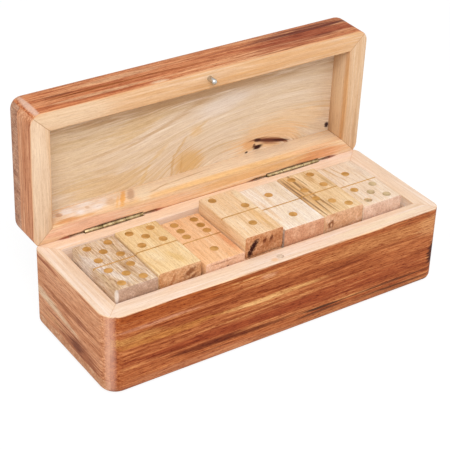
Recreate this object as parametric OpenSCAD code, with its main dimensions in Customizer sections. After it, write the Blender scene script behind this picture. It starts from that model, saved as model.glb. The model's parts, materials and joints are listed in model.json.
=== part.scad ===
// Domino storage box: a mitred hardwood case with a hinged lid, standing open as in use,
// and the double-six set of twenty-eight brass-inlaid dominoes that it holds.
// Millimetres. The origin is the centre of the box's underside, +X along its length,
// -Y the front and +Z up. The lid is drawn open, on its stop.

/* [Box] */
// Length of the box and the lid
box_l = 200; // [190:1:220]
// Depth of the box and the lid, front to back
box_w = 75; // [72:0.5:82]
// Height of the four walls above the bottom board
wall_h = 37.5; // [36:0.5:42]
// Thickness of the walls and of the lid's rails
wall_t = 10.5; // [9:0.1:11.5]
// Thickness of the bottom board
bottom_t = 8; // [6:0.5:9]
// Rounding of the bottom board's lower edge
bottom_round = 4.5; // [2:0.25:5]
// Rounding of the box's upright corners
corner_r = 5.5; // [5.5:0.25:7]
// Rounding of the box's front left corner, sanded softer than the rest
soft_corner_r = 9; // [6:0.5:9.5]

/* [Lid] */
// Height of the lid's rails, which is the depth of its recess
rail_h = 13.6; // [13.4:0.1:18]
// Thickness of the lid's top board
top_t = 12.1; // [8:0.1:13.5]
// Rounding of the top board's upper edge
top_round = 6.5; // [3:0.25:6.5]
// Rounding of the lid's corners
lid_corner_r = 6.5; // [6.5:0.25:7.5]
// Angle between the rims when the lid stands open on its stop
open_angle = 89; // [86:0.5:96]
// Distance of the hinge axis in front of the rear face
axis_inset = 2; // [1.8:0.1:2.6]

/* [Hinges] */
// Length of each hinge
hinge_l = 34; // [30:0.5:37]
// Length of the middle knuckle
mid_knuckle_l = 13.4; // [11:0.2:15]
// Gap between two knuckles
knuckle_gap = 0.2; // [0.15:0.05:0.4]
// Outside diameter of the barrel
barrel_d = 2.5; // [2.4:0.1:2.8]
// Diameter of the hinge pin
hinge_pin_d = 1.2; // [1:0.1:1.3]
// Thickness of a leaf
leaf_t = 0.7; // [0.5:0.05:0.9]
// Depth of a leaf, from the hinge axis to its edge
leaf_depth = 7; // [6:0.25:7.5]
// Place of the left hinge's middle, from the left end
left_hinge_x = 44.8; // [40:0.2:50]
// Place of the right hinge's middle, from the right end
right_hinge_x = 43.8; // [40:0.2:50]
// Length of the saw kerf at the rim
kerf_l = 52; // [48:1:58]
// Distance between the two brads of a leaf
brad_pitch = 20; // [16:0.5:22]
// Diameter of a brad
brad_d = 1.2; // [1:0.1:1.4]
// Length of a brad under its head
brad_l = 6.5; // [5:0.25:8]
// Distance of the brads from the hinge axis
brad_drop = 4.7; // [4.2:0.1:5]
// Diameter of a brad's head
brad_head_d = 2.4; // [2:0.1:2.8]
// Thickness of a brad's head
brad_head_t = 0.4; // [0.3:0.05:0.6]

/* [Catch] */
// Diameter of the steel catch pin
catch_d = 3; // [2.2:0.1:3.2]
// Length of the catch pin that stands out of the lid's rim
catch_out = 5.5; // [4:0.25:6]
// Length of the catch pin inside the rail
catch_in = 9; // [6:0.5:11]
// Distance of the catch pin behind the front face
catch_inset = 4.6; // [4.2:0.1:5.2]

/* [Dominoes] */
// Length of a domino, which lies front to back
tile_l = 43.5; // [41:0.25:45]
// Thickness of a domino
tile_t = 11.2; // [10.8:0.05:11.3]
// Rounding of a domino's edges
tile_round = 0.9; // [0.4:0.1:1.4]
// Diameter of a brass pip
pip_d = 4.4; // [3.6:0.1:5]
// Distance between the outer pips of a half
pip_pitch = 12; // [11:0.25:13]
// Thickness of the brass inlays
inlay_t = 1; // [0.6:0.1:1.5]
// Width of the brass dividing strip
strip_w = 0.8; // [0.5:0.1:1.2]

/* [Clearances] */
// Gap between neighbouring stacks of dominoes, and beside the first
stack_gap = 0.47; // [0.3:0.01:0.5]
// Slot for a finger on the right of the last stack
finger_slot = 7.71; // [6:0.01:12]
// Gap between the dominoes and the front wall
front_gap = 0.6; // [0.4:0.1:1.5]
// Radial gap of the hinge pin in the moving knuckles
pin_clear = 0.04; // [0.01:0.01:0.1]
// Gap between the barrel and the groove it lies in
barrel_clear = 0.3; // [0.25:0.05:0.4]
// Gap on each side of a leaf in its kerf
leaf_clear = 0.45; // [0.1:0.05:0.6]
// Gap between the corners of a leaf and the round floor of its kerf
leaf_corner_clear = 0.4; // [0.3:0.05:1]
// Radial gap of the catch pin in its hole
catch_clear = 0.4; // [0.35:0.05:0.6]
// Gap all round a driven or inlaid piece
seat_clear = 0.05; // [0.03:0.01:0.1]

/* [Hidden] */
$fn = 64;
eps = 0.01;
wood_red = "#a9583a";
wood_rim = "#e3bd93";
wood_tile = "#e6c48f";
brass = "#b08d4a";
steel = "#b9b9b4";

box_h = bottom_t + wall_h;
lid_h = rail_h + top_t;
inner_l = box_l - 2 * wall_t;
inner_w = box_w - 2 * wall_t;
front_y = -box_w / 2;
rear_y = box_w / 2;
box_corners = [soft_corner_r, corner_r, corner_r, corner_r];
lid_corners = [lid_corner_r, lid_corner_r, lid_corner_r, lid_corner_r];

axis_y = rear_y - axis_inset;
axis_z = box_h;
stop_slope = tan(open_angle / 2);
kerf_w = leaf_t + 2 * leaf_clear;
// The saw's round path starts and ends at the rim, and passes just below the corners of the leaf
corner_drop = leaf_depth + leaf_corner_clear;
saw_rise = ((kerf_l * kerf_l - hinge_l * hinge_l) / 4 - corner_drop * corner_drop) / (2 * corner_drop);
saw_r = norm([kerf_l / 2, saw_rise]);
end_knuckle_l = (hinge_l - mid_knuckle_l) / 2 - knuckle_gap;
hinge_xs = [left_hinge_x - box_l / 2, box_l / 2 - right_hinge_x];

// The set, by layers from the floor up. A domino is [rear half, front half], left to right.
LAYERS = [
    [[0, 0], [6, 6], [3, 2], [4, 0], [6, 5], [2, 2], [3, 1]],
    [[5, 3], [4, 1], [0, 2], [6, 3], [3, 3], [5, 4], [0, 1]],
    [[6, 0], [2, 5], [4, 4], [3, 0], [2, 6], [4, 2], [6, 4]],
    [[5, 5], [5, 0], [6, 1], [2, 1], [1, 1], [4, 3], [1, 5]]
];
COLUMNS = len(LAYERS[0]);
// How much each stack's hand-cut dominoes are wider, thicker and further back than the first sizes
WIDER = [-0.8, 0, -1.2, -1.4, 0.9, 0.1, 0.6];
THICKER = [-0.2, 0, -0.8, 0.95, 0.4, 0.45, -0.05];
SET_BACK = [0, 0.4, 0, 0.9, 0.2, 0.5, 0.2];
// Room left open on a stack's left, beside the usual gap
EXTRA_GAP = [0, 0, 1.8, 0, 0, 0, 0];

function sum_to(list, n) = n == 0 ? 0 : list[n - 1] + sum_to(list, n - 1);
uneven = sum_to(WIDER, COLUMNS) + sum_to(EXTRA_GAP, COLUMNS);
// The stacks share the length inside the box, but for the finger slot
tile_w = (inner_l - finger_slot - uneven) / COLUMNS - stack_gap;
function stack_x(c) = -inner_l / 2 + c * (tile_w + stack_gap) + stack_gap + sum_to(WIDER, c)
    + sum_to(EXTRA_GAP, c + 1) + (tile_w + WIDER[c]) / 2;
function stack_y(c) = front_y + wall_t + front_gap + SET_BACK[c] + tile_l / 2;
function tile_thickness(c) = tile_t + THICKER[c];
function domino_name(v) = str("domino_", max(v), "_", min(v));

// Plan shapes

// A square corner's waste outside a rounding of radius r, its sharp tip at the origin
module corner_waste(r) {
    difference() {
        translate([-eps, -eps]) square(r + eps);
        translate([r, r]) circle(r);
    }
}

// A rectangle with its own rounding at each corner, from front left anticlockwise
module rounded_plan(l, w, radii) {
    signs = [[-1, -1], [1, -1], [1, 1], [-1, 1]];
    difference() {
        square([l, w], center = true);
        for (i = [0:3])
            translate([signs[i][0] * l / 2, signs[i][1] * w / 2])
                scale([-signs[i][0], -signs[i][1]]) corner_waste(radii[i]);
    }
}

// The mitred quarter of the frame that one side takes: its outer edge full length, its inner edge short
module long_side(side) {
    polygon([
        [-box_l / 2, side * box_w / 2],
        [box_l / 2, side * box_w / 2],
        [inner_l / 2, side * inner_w / 2],
        [-inner_l / 2, side * inner_w / 2]
    ]);
}

module short_side(side) {
    polygon([
        [side * box_l / 2, -box_w / 2],
        [side * box_l / 2, box_w / 2],
        [side * inner_l / 2, inner_w / 2],
        [side * inner_l / 2, -inner_w / 2]
    ]);
}

// One mitred piece of the frame, its lower face on z = 0
module frame_piece(h, radii) {
    linear_extrude(height = h)
        intersection() {
            rounded_plan(box_l, box_w, radii);
            children();
        }
}

// Outline across a board's edge, with its lower outer corner rounded
module edge_profile(depth, t, r) {
    difference() {
        square([depth, t]);
        translate([depth, 0]) mirror([1, 0]) corner_waste(r);
    }
}

// A board over the whole plan, with its lower edge rounded all the way round
module rounded_board(t, r, radii) {
    reach = max(radii) + 1;
    signs = [[-1, -1], [1, -1], [1, 1], [-1, 1]];
    sizes = [box_l, box_w];
    for (i = [0:3]) {
        along = i % 2;
        next = (i + 1) % 4;
        translate([signs[i][0] * (box_l / 2 - radii[i]), signs[i][1] * (box_w / 2 - radii[i]), 0])
            rotate_extrude() edge_profile(radii[i], t, r);
        rotate([0, 0, 90 * i])
            translate([-sizes[along] / 2 + radii[i], -sizes[1 - along] / 2 + reach, 0])
                rotate([90, 0, 90])
                    linear_extrude(height = sizes[along] - radii[i] - radii[next])
                        mirror([1, 0]) edge_profile(reach, t, r);
    }
    translate([-box_l / 2 + reach - eps, -box_w / 2 + reach - eps, 0])
        cube([box_l - 2 * reach + 2 * eps, box_w - 2 * reach + 2 * eps, t]);
}

// The lid's own space is drawn closed, above the rim at z = 0. This swings it open on its stop.
module opened() {
    translate([0, axis_y, axis_z])
        rotate([-open_angle, 0, 0])
            translate([0, -axis_y, 0])
                children();
}

// Cuts for the hinges, drawn upwards from the rim

// Rear edge cut away from the hinge axis out, so that lid and box meet face to face at the stop
module stop_chamfer() {
    over = 1;
    reach = axis_inset + over;
    translate([-box_l / 2 - over, 0, 0])
        rotate([90, 0, 90])
            linear_extrude(height = box_l + 2 * over)
                polygon([
                    [axis_y, 0],
                    [axis_y + reach, -over],
                    [axis_y + reach, reach * stop_slope],
                ]);
}

// Groove for the barrel and the kerf that the leaf is driven into, cut by a round saw
module hinge_cuts() {
    for (x = hinge_xs)
        translate([x, axis_y, 0]) {
            rotate([0, 90, 0])
                cylinder(d = barrel_d + 2 * barrel_clear, h = hinge_l + 2 * barrel_clear, center = true);
            translate([0, 0, -saw_rise])
                rotate([90, 0, 0]) cylinder(r = saw_r, h = kerf_w, center = true, $fn = 96);
        }
}

module brad_places() {
    for (x = hinge_xs, side = [-1, 1])
        translate([x + side * brad_pitch / 2, rear_y, brad_drop])
            children();
}

module brad_holes() {
    brad_places()
        rotate([90, 0, 0])
            translate([0, 0, -1])
                cylinder(d = brad_d + 2 * seat_clear, h = brad_l + seat_clear + 1);
}

module brads() {
    brad_places()
        rotate([90, 0, 0]) {
            cylinder(d = brad_d, h = brad_l);
            translate([0, 0, -brad_head_t]) cylinder(d = brad_head_d, h = brad_head_t);
        }
}

// Turns a cut or piece drawn upwards from the rim into the box's, below its rim
module below_rim() {
    translate([0, 0, axis_z]) mirror([0, 0, 1]) children();
}

// Box

module box_bottom_board() {
    color(wood_red) rounded_board(bottom_t, bottom_round, box_corners);
}

module box_front_wall() {
    color(wood_red)
        difference() {
            translate([0, 0, bottom_t]) frame_piece(wall_h, box_corners) long_side(-1);
            translate([0, front_y + catch_inset, axis_z - catch_out - 1])
                cylinder(d = catch_d + 2 * catch_clear, h = catch_out + 2);
        }
}

module box_back_wall() {
    color(wood_red)
        difference() {
            translate([0, 0, bottom_t]) frame_piece(wall_h, box_corners) long_side(1);
            below_rim() {
                stop_chamfer();
                hinge_cuts();
                brad_holes();
            }
        }
}

module box_side_wall(side) {
    color(wood_red)
        difference() {
            translate([0, 0, bottom_t]) frame_piece(wall_h, box_corners) short_side(side);
            below_rim() stop_chamfer();
        }
}

// Lid

module lid_top_board() {
    color(wood_red)
        opened()
            translate([0, 0, lid_h])
                mirror([0, 0, 1]) rounded_board(top_t, top_round, lid_corners);
}

module lid_front_rail() {
    color(wood_rim)
        opened()
            difference() {
                frame_piece(rail_h, lid_corners) long_side(-1);
                translate([0, front_y + catch_inset, -1])
                    cylinder(d = catch_d + 2 * seat_clear, h = catch_in + seat_clear + 1);
            }
}

module lid_back_rail() {
    color(wood_rim)
        opened()
            difference() {
                frame_piece(rail_h, lid_corners) long_side(1);
                stop_chamfer();
                hinge_cuts();
                brad_holes();
            }
}

module lid_side_rail(side) {
    color(wood_rim)
        opened()
            difference() {
                frame_piece(rail_h, lid_corners) short_side(side);
                stop_chamfer();
            }
}

// Hinges

// A length of barrel round the hinge axis, with its bore, and the neck that joins it to its leaf
module knuckle(x, l) {
    translate([x, 0, 0]) {
        rotate([0, 90, 0]) cylinder(d = barrel_d, h = l, center = true);
        translate([-l / 2, -leaf_t / 2, 0]) cube([l, leaf_t, leaf_depth]);
    }
}

// One leaf drawn upwards from the axis, with either its middle knuckle or its two end ones
module leaf(has_middle) {
    end_x = (hinge_l - end_knuckle_l) / 2;
    plate_z = barrel_d / 2 + barrel_clear;
    difference() {
        union() {
            if (has_middle)
                knuckle(0, mid_knuckle_l);
            else
                for (side = [-1, 1])
                    knuckle(side * end_x, end_knuckle_l);
            translate([-hinge_l / 2, -leaf_t / 2, plate_z]) cube([hinge_l, leaf_t, leaf_depth - plate_z]);
        }
        rotate([0, 90, 0]) cylinder(d = hinge_pin_d + 2 * pin_clear, h = hinge_l + 1, center = true);
        for (side = [-1, 1])
            translate([side * brad_pitch / 2, 0, brad_drop])
                rotate([90, 0, 0])
                    cylinder(d = brad_d + 2 * seat_clear, h = leaf_t + 1, center = true);
    }
}

// The left hinge has its middle knuckle on the box, the right one on the lid
module box_leaf(x, has_middle) {
    color(brass) below_rim() translate([x, axis_y, 0]) leaf(has_middle);
}

module lid_leaf(x, has_middle) {
    color(brass) opened() translate([x, axis_y, 0]) leaf(has_middle);
}

module hinge_pin(x) {
    color(steel)
        translate([x, axis_y, axis_z])
            rotate([0, 90, 0]) cylinder(d = hinge_pin_d, h = hinge_l, center = true);
}

module box_hinge_brads() {
    color(brass) below_rim() brads();
}

module lid_hinge_brads() {
    color(brass) opened() brads();
}

// Catch pin in the lid's front rail, with a domed tip that enters the hole in the box's rim
module lid_catch_pin() {
    r = catch_d / 2;
    color(steel)
        opened()
            translate([0, front_y + catch_inset, 0]) {
                translate([0, 0, r - catch_out]) cylinder(r = r, h = catch_out - r + catch_in);
                translate([0, 0, r - catch_out]) sphere(r = r);
            }
}

// Dominoes

// Places of the pips of each value, in steps of half the pip pitch from the middle of the half
CORNERS = [[-1, 1], [1, -1], [-1, -1], [1, 1]];
PIPS = [
    [],
    [[0, 0]],
    [CORNERS[0], CORNERS[1]],
    [CORNERS[0], [0, 0], CORNERS[1]],
    CORNERS,
    concat(CORNERS, [[0, 0]]),
    concat(CORNERS, [[-1, 0], [1, 0]])
];

// A bar with all its edges rounded, standing on z = 0
module rounded_bar(w, l, t, r) {
    intersection() {
        linear_extrude(height = t) rounded_plan(w, l, [r, r, r, r]);
        translate([0, l / 2, t / 2])
            rotate([90, 0, 0]) linear_extrude(height = l) rounded_plan(w, t, [r, r, r, r]);
        translate([-w / 2, 0, t / 2])
            rotate([90, 0, 90]) linear_extrude(height = w) rounded_plan(l, t, [r, r, r, r]);
    }
}

// The brass pips of a domino, z = 0 at its face, grown by a clearance where they are pockets
module pips(v, grow, up) {
    for (half = [0, 1])
        for (p = PIPS[v[half]])
            translate([0, (1 - 2 * half) * tile_l / 4, -inlay_t - grow])
                translate([p[0], p[1], 0] * pip_pitch / 2)
                    cylinder(d = pip_d + 2 * grow, h = inlay_t + grow + up, $fn = 32);
}

// The saw cut across a domino's middle and the strip that fills it, z = 0 at the face
module strip_bar(l, grow, up) {
    translate([-l / 2, -strip_w / 2 - grow, -inlay_t - grow])
        cube([l, strip_w + 2 * grow, inlay_t + grow + up]);
}

module domino(layer, c) {
    v = LAYERS[layer][c];
    t = tile_thickness(c);
    w = tile_w + WIDER[c];
    over = 1;
    translate([stack_x(c), stack_y(c), bottom_t + layer * t]) {
        color(wood_tile)
            difference() {
                rounded_bar(w, tile_l, t, tile_round);
                translate([0, 0, t]) {
                    pips(v, seat_clear, over);
                    strip_bar(w + 2 * over, seat_clear, over);
                }
            }
        color(brass) {
            translate([0, 0, t]) pips(v, 0, 0);
            intersection() {
                rounded_bar(w, tile_l, t, tile_round);
                translate([0, 0, t]) strip_bar(w + 2 * over, 0, over);
            }
        }
    }
}

box_bottom_board();
box_front_wall();
box_back_wall();
box_side_wall(-1);  // box_left_wall
box_side_wall(1);  // box_right_wall
lid_top_board();
lid_front_rail();
lid_back_rail();
lid_side_rail(-1);  // lid_left_rail
lid_side_rail(1);  // lid_right_rail
box_leaf(hinge_xs[0], true);  // left_hinge_box_leaf
lid_leaf(hinge_xs[0], false);  // left_hinge_lid_leaf
hinge_pin(hinge_xs[0]);  // left_hinge_pin
box_leaf(hinge_xs[1], false);  // right_hinge_box_leaf
lid_leaf(hinge_xs[1], true);  // right_hinge_lid_leaf
hinge_pin(hinge_xs[1]);  // right_hinge_pin
box_hinge_brads();
lid_hinge_brads();
lid_catch_pin();
for (layer = [0:len(LAYERS) - 1], c = [0:COLUMNS - 1])
    domino(layer, c);
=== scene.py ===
# %% [markdown]
# # A domino box in mango wood
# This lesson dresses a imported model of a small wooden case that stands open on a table, full of
# dominoes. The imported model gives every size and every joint. Here each board is modelled again with the
# soft arrises of hand sanding, and gets the two finishes of the real case: a red-brown stain outside,
# bare pale wood inside. We work through it as a maker would: blanks, saw cuts, rounding over, hardware,
# the set, and then the light.

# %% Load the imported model
import json
import math
import random
from contextlib import contextmanager

import bmesh
import bpy
from mathutils import Matrix, Vector


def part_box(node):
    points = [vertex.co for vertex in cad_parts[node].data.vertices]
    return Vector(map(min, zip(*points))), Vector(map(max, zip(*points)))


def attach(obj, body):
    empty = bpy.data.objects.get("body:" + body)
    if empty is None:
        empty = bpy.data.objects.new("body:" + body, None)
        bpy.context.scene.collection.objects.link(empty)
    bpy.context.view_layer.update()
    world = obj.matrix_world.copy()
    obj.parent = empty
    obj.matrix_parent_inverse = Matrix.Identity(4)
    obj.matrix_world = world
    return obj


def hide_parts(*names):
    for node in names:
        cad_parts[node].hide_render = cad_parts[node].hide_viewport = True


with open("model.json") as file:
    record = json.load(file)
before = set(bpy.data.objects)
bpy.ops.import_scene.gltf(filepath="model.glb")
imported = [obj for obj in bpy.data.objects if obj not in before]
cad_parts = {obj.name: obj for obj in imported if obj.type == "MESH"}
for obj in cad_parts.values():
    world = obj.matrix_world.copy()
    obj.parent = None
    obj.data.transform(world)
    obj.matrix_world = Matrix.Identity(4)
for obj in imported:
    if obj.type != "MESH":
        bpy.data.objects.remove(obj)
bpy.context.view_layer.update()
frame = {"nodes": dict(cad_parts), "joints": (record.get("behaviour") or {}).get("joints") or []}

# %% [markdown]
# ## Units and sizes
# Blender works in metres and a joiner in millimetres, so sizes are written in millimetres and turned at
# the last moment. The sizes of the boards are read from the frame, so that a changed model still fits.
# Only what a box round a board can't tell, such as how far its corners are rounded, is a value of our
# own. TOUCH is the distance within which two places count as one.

MM = 0.001
TOUCH = 0.01


def box_mm(node):
    """Lowest and highest corner of a CAD node at rest, in millimetres."""
    low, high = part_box(node)
    return low / MM, high / MM


bottom_low, bottom_high = box_mm("box_bottom_board")
wall_low, wall_high = box_mm("box_front_wall")
HALF_L = (bottom_high.x - bottom_low.x) / 2
HALF_W = (bottom_high.y - bottom_low.y) / 2
BOTTOM_T = bottom_high.z
RIM_Z = wall_high.z
WALL_T = wall_high.y - wall_low.y
CORNER_R = 5.5
SOFT_CORNER_R = 9.0
BOTTOM_ROUND = 4.5
LID_ROUND = 6.5
print("box", HALF_L * 2, "x", HALF_W * 2, "rim at", RIM_Z, "walls", round(WALL_T, 2))

# %% [markdown]
# ## The lid, shut and open
# At rest the lid stands open. It is far easier to model a lid lying shut, square to the world, and to
# turn it open once it is done. The joint in the frame says where its axis is and how far it opens. The
# same turn, run backwards, measures the lid's boards as if the case were shut.

# %% The lid's turn
lid_hinge = next(joint for joint in frame["joints"] if joint["name"] == "lid_hinge")
AXIS = Vector(lid_hinge["pos_m"]) / MM
OPEN_ANGLE = math.radians(-lid_hinge["range_deg"][0])
SHUT = Matrix.Translation(AXIS) @ Matrix.Rotation(OPEN_ANGLE, 4, "X") @ Matrix.Translation(-AXIS)


def shut_box_mm(node):
    """Lowest and highest corner of one of the lid's nodes, as it lies when the case is shut."""
    corners = [SHUT @ (vertex.co / MM) for vertex in frame["nodes"][node].data.vertices]
    low = Vector(min(corner[i] for corner in corners) for i in range(3))
    high = Vector(max(corner[i] for corner in corners) for i in range(3))
    return low, high


RAIL_TOP = shut_box_mm("lid_front_rail")[1].z
LID_TOP = shut_box_mm("lid_top_board")[1].z
print("lid rails to", round(RAIL_TOP, 2), "top at", round(LID_TOP, 2))
print("opens", round(math.degrees(OPEN_ANGLE), 1), "degrees")

# %% [markdown]
# ## Camera
# The photograph was taken with a longish lens from the front left, looking down by about a third of a
# right angle. The camera stands that way round a point just above the rim. Its lens is given as the
# photograph's focal length in pixels over its width, times the sensor's width.

# %% Place the camera
PHOTO_WIDTH = 450
FOCAL_LENGTH = 1438.3
VIEW_AZIMUTH = math.radians(-34.371)
VIEW_ELEVATION = math.radians(31.826)
VIEW_ROLL = math.radians(2.02)
VIEW_DISTANCE = 731.47
VIEW_CENTRE = Vector((-7.52, 5.24, RIM_Z))

back = Vector((
    math.sin(VIEW_AZIMUTH) * math.cos(VIEW_ELEVATION),
    -math.cos(VIEW_AZIMUTH) * math.cos(VIEW_ELEVATION),
    math.sin(VIEW_ELEVATION),
))
level = Vector((0, 0, 1)).cross(back).normalized()
upright = back.cross(level)
right = level * math.cos(VIEW_ROLL) + upright * math.sin(VIEW_ROLL)
up = upright * math.cos(VIEW_ROLL) - level * math.sin(VIEW_ROLL)

bpy.ops.object.camera_add()
camera = bpy.context.object
camera.name = "camera"
camera.data.lens = camera.data.sensor_width * FOCAL_LENGTH / PHOTO_WIDTH
camera.data.clip_start = 0.01
stand = Matrix.Translation((VIEW_CENTRE + back * VIEW_DISTANCE) * MM)
camera.matrix_world = stand @ Matrix((right, up, back)).transposed().to_4x4()
bpy.context.scene.camera = camera
print("lens", round(camera.data.lens, 1), "mm")

# %% [markdown]
# ## Modelling helpers
# Operators act on whatever is selected, so each one starts from nothing selected. One helper opens a
# piece in edit mode and closes it again, and another selects edges or faces by a test on their place or
# the way they face. FACING is how nearly a face has to look along a direction, as a cosine, and LEANING
# is a looser one.

# %% Select and edit
FACING = 0.9
LEANING = 0.5


@contextmanager
def editing(piece):
    """Opens a piece in edit mode with nothing selected, and closes it at the end of the block."""
    bpy.ops.object.select_all(action="DESELECT")
    piece.select_set(True)
    bpy.context.view_layer.objects.active = piece
    bpy.ops.object.mode_set(mode="EDIT")
    bpy.ops.mesh.select_all(action="DESELECT")
    yield
    bpy.ops.object.mode_set(mode="OBJECT")


def pick(piece, kind, test):
    """Selects the edges or the faces that pass a test. kind is EDGE or FACE."""
    bpy.ops.mesh.select_mode(type=kind)
    mesh = bmesh.from_edit_mesh(piece.data)
    elements = mesh.edges if kind == "EDGE" else mesh.faces
    picked = [element for element in elements if test(element)]
    for element in elements:
        element.select_set(False)
    for element in picked:
        element.select_set(True)
    bmesh.update_edit_mesh(piece.data)


def at_height(edge, z):
    """True where both ends of an edge lie at a height given in millimetres."""
    return all(abs(vertex.co.z / MM - z) < TOUCH for vertex in edge.verts)


# %% [markdown]
# ## Blanks and saw cuts
# Every board starts as a blank, a block between two corners. It is rounded over at its upright corners
# with the bevel, and sawn with the bisect operator, which fills the cut and drops the waste. A wooden
# frame is mitred: each side is sawn from the whole rounded blank along the two diagonals and its own
# inner face, so that the rounded corner is shared between two boards, as on the real case.

# %% Blank, saw and drill
def blank(name, low, high):
    """A block between two corners, its place in its mesh."""
    bpy.ops.object.select_all(action="DESELECT")
    low, high = Vector(low), Vector(high)
    bpy.ops.mesh.primitive_cube_add(size=1, location=(low + high) / 2 * MM)
    piece = bpy.context.object
    piece.name = piece.data.name = name
    piece.scale = (high - low) * MM
    bpy.ops.object.transform_apply(location=True, rotation=True, scale=True)
    return piece


def round_over(piece, test, radius, segments):
    """Rounds the edges that pass a test."""
    with editing(piece):
        pick(piece, "EDGE", test)
        bpy.ops.mesh.bevel(offset=radius * MM, segments=segments, affect="EDGES")


def saw(piece, point, normal):
    """Cuts through a piece and drops the side that the normal points to."""
    with editing(piece):
        bpy.ops.mesh.select_all(action="SELECT")
        bpy.ops.mesh.bisect(
            plane_co=Vector(point) * MM,
            plane_no=Vector(normal).normalized(),
            use_fill=True,
            clear_outer=True,
        )


def rod(name, centre, direction, diameter, length, vertices=48):
    """A round bar about a centre, along a direction."""
    bpy.ops.object.select_all(action="DESELECT")
    turn = Vector(direction).to_track_quat("Z", "Y").to_euler()
    bpy.ops.mesh.primitive_cylinder_add(
        vertices=vertices,
        radius=diameter / 2 * MM,
        depth=length * MM,
        location=Vector(centre) * MM,
        rotation=turn,
    )
    piece = bpy.context.object
    piece.name = piece.data.name = name
    bpy.ops.object.transform_apply(location=True, rotation=True, scale=True)
    return piece


def carve(piece, cutter):
    """Takes the cutter's shape out of a piece, and clears the cutter away."""
    modifier = piece.modifiers.new("carve", "BOOLEAN")
    modifier.operation = "DIFFERENCE"
    modifier.object = cutter
    bpy.ops.object.select_all(action="DESELECT")
    bpy.context.view_layer.objects.active = piece
    bpy.ops.object.modifier_apply(modifier=modifier.name)
    bpy.data.objects.remove(cutter)


def ease_edges(piece, width, segments=1):
    """Takes the sharpness off every hard edge with a fine bevel."""
    modifier = piece.modifiers.new("ease", "BEVEL")
    modifier.width = width * MM
    modifier.segments = segments
    modifier.limit_method = "ANGLE"
    modifier.angle_limit = math.radians(40)
    bpy.ops.object.select_all(action="DESELECT")
    bpy.context.view_layer.objects.active = piece
    bpy.ops.object.modifier_apply(modifier=modifier.name)


def smooth(piece, angle=35):
    """Shades a piece smooth except across its hard edges."""
    bpy.ops.object.select_all(action="DESELECT")
    piece.select_set(True)
    bpy.context.view_layer.objects.active = piece
    bpy.ops.object.shade_smooth_by_angle(angle=math.radians(angle))


# %% [markdown]
# ## Opening the lid's pieces
# A lid's piece is modelled shut and then turned about the hinge axis in edit mode, so that its object
# stays at the origin, unturned. Without a window the rotate operator turns the other way round and knows
# no pivot, so it is given the centre itself and the angle with its sign the other way.

# %% Turn a piece open
def swing_open(piece):
    """Turns a piece of the lid about the hinge axis, from shut to its stop."""
    with editing(piece):
        bpy.ops.mesh.select_all(action="SELECT")
        bpy.ops.transform.rotate(value=OPEN_ANGLE, orient_axis="X", center_override=AXIS * MM)


# %% [markdown]
# ## Node helper and colours
# Colours are given as sRGB hex values, and shaders want linear light, so one function turns them. One
# other function adds a node: it sets the node's own settings, gives its inputs values or links, and fills a
# colour ramp where there is one. That keeps each material a short list of steps.

# %% Colours and nodes
def colour(hex_value):
    """An sRGB hex value as linear RGBA."""
    parts = [int(hex_value[i:i + 2], 16) / 255 for i in (1, 3, 5)]
    linear = [part / 12.92 if part <= 0.04045 else ((part + 0.055) / 1.055) ** 2.4 for part in parts]
    return (*linear, 1)


def add(tree, kind, inputs=None, stops=None, **settings):
    """Adds a node with its settings, its inputs as values or links, and the stops of its colour ramp."""
    made = tree.nodes.new(kind)
    for key, value in settings.items():
        setattr(made, key, value)
    for key, value in (inputs or {}).items():
        if isinstance(value, bpy.types.NodeSocket):
            tree.links.new(value, made.inputs[key])
        else:
            made.inputs[key].default_value = value
    if stops:
        ramp = made.color_ramp
        while len(ramp.elements) < len(stops):
            ramp.elements.new(0.5)
        for element, (place, hex_value) in zip(ramp.elements, stops):
            element.position = place
            element.color = colour(hex_value)
    return made


def span(value, source, target):
    """The inputs of a Map Range node: a value, the range it comes from and the range it goes to."""
    sockets = ("Value", "From Min", "From Max", "To Min", "To Max")
    return dict(zip(sockets, (value, *source, *target)))


def new_material(name):
    """A material that uses nodes, and its tree."""
    material = bpy.data.materials.new(name)
    material.use_nodes = True
    return material, material.node_tree


def dress(tree, tint, height, relief, uniform):
    """Gives the main shader its colour, its relief (strength, depth in mm) and its uniform values."""
    shader = tree.nodes["Principled BSDF"]
    tree.links.new(tint, shader.inputs["Base Color"])
    strength, depth = relief
    bump = add(tree, "ShaderNodeBump", {"Height": height, "Strength": strength, "Distance": depth * MM})
    tree.links.new(bump.outputs["Normal"], shader.inputs["Normal"])
    for socket, value in uniform.items():
        shader.inputs[socket].default_value = value
    return shader


# %% [markdown]
# ## Wood
# The case is mango wood, planed and sanded, stained outside and left bare inside. Mango has long
# straight streaks from a hair to a few millimetres wide, short dark pores, and now and then a knot that
# the streaks flow round. So the shader works in the shut case's own millimetres:
#
# 1. the place is turned back to the shut case and scaled to millimetres,
# 2. it is turned so that its first axis runs along the board's grain, and pushed aside round a knot,
# 3. noise that is stretched along the grain gives broad bands, streaks, fine lines and pores,
# 4. marks, which are soft ellipsoids at chosen places, tint a streak, a knot or a worn corner, or paint in
#    shade and highlights, with the streaks breaking up their edges,
# 5. near the rim the stain fades to bare wood, because the rim was sanded after staining, and a thin
#    dark line shows where two mitred boards meet.

# %% Place and noise
def shut_place(tree, in_lid):
    """The place on the shut case, in millimetres."""
    place = add(tree, "ShaderNodeTexCoord").outputs["Object"]
    inputs = {"Vector": place, "Scale": (1 / MM,) * 3}
    if in_lid:
        inputs.update({"Location": SHUT.to_translation(), "Rotation": (OPEN_ANGLE, 0, 0)})
    return add(tree, "ShaderNodeMapping", inputs).outputs["Vector"]


def along_grain(tree, place, grain):
    """Turns the place so that its first axis runs along the grain, which lies along x, y or z."""
    turns = {"x": (0, 0, 0), "y": (0, 0, -math.pi / 2), "z": (0, math.pi / 2, 0)}
    return add(tree, "ShaderNodeMapping", {"Vector": place, "Rotation": turns[grain]}).outputs["Vector"]


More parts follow.
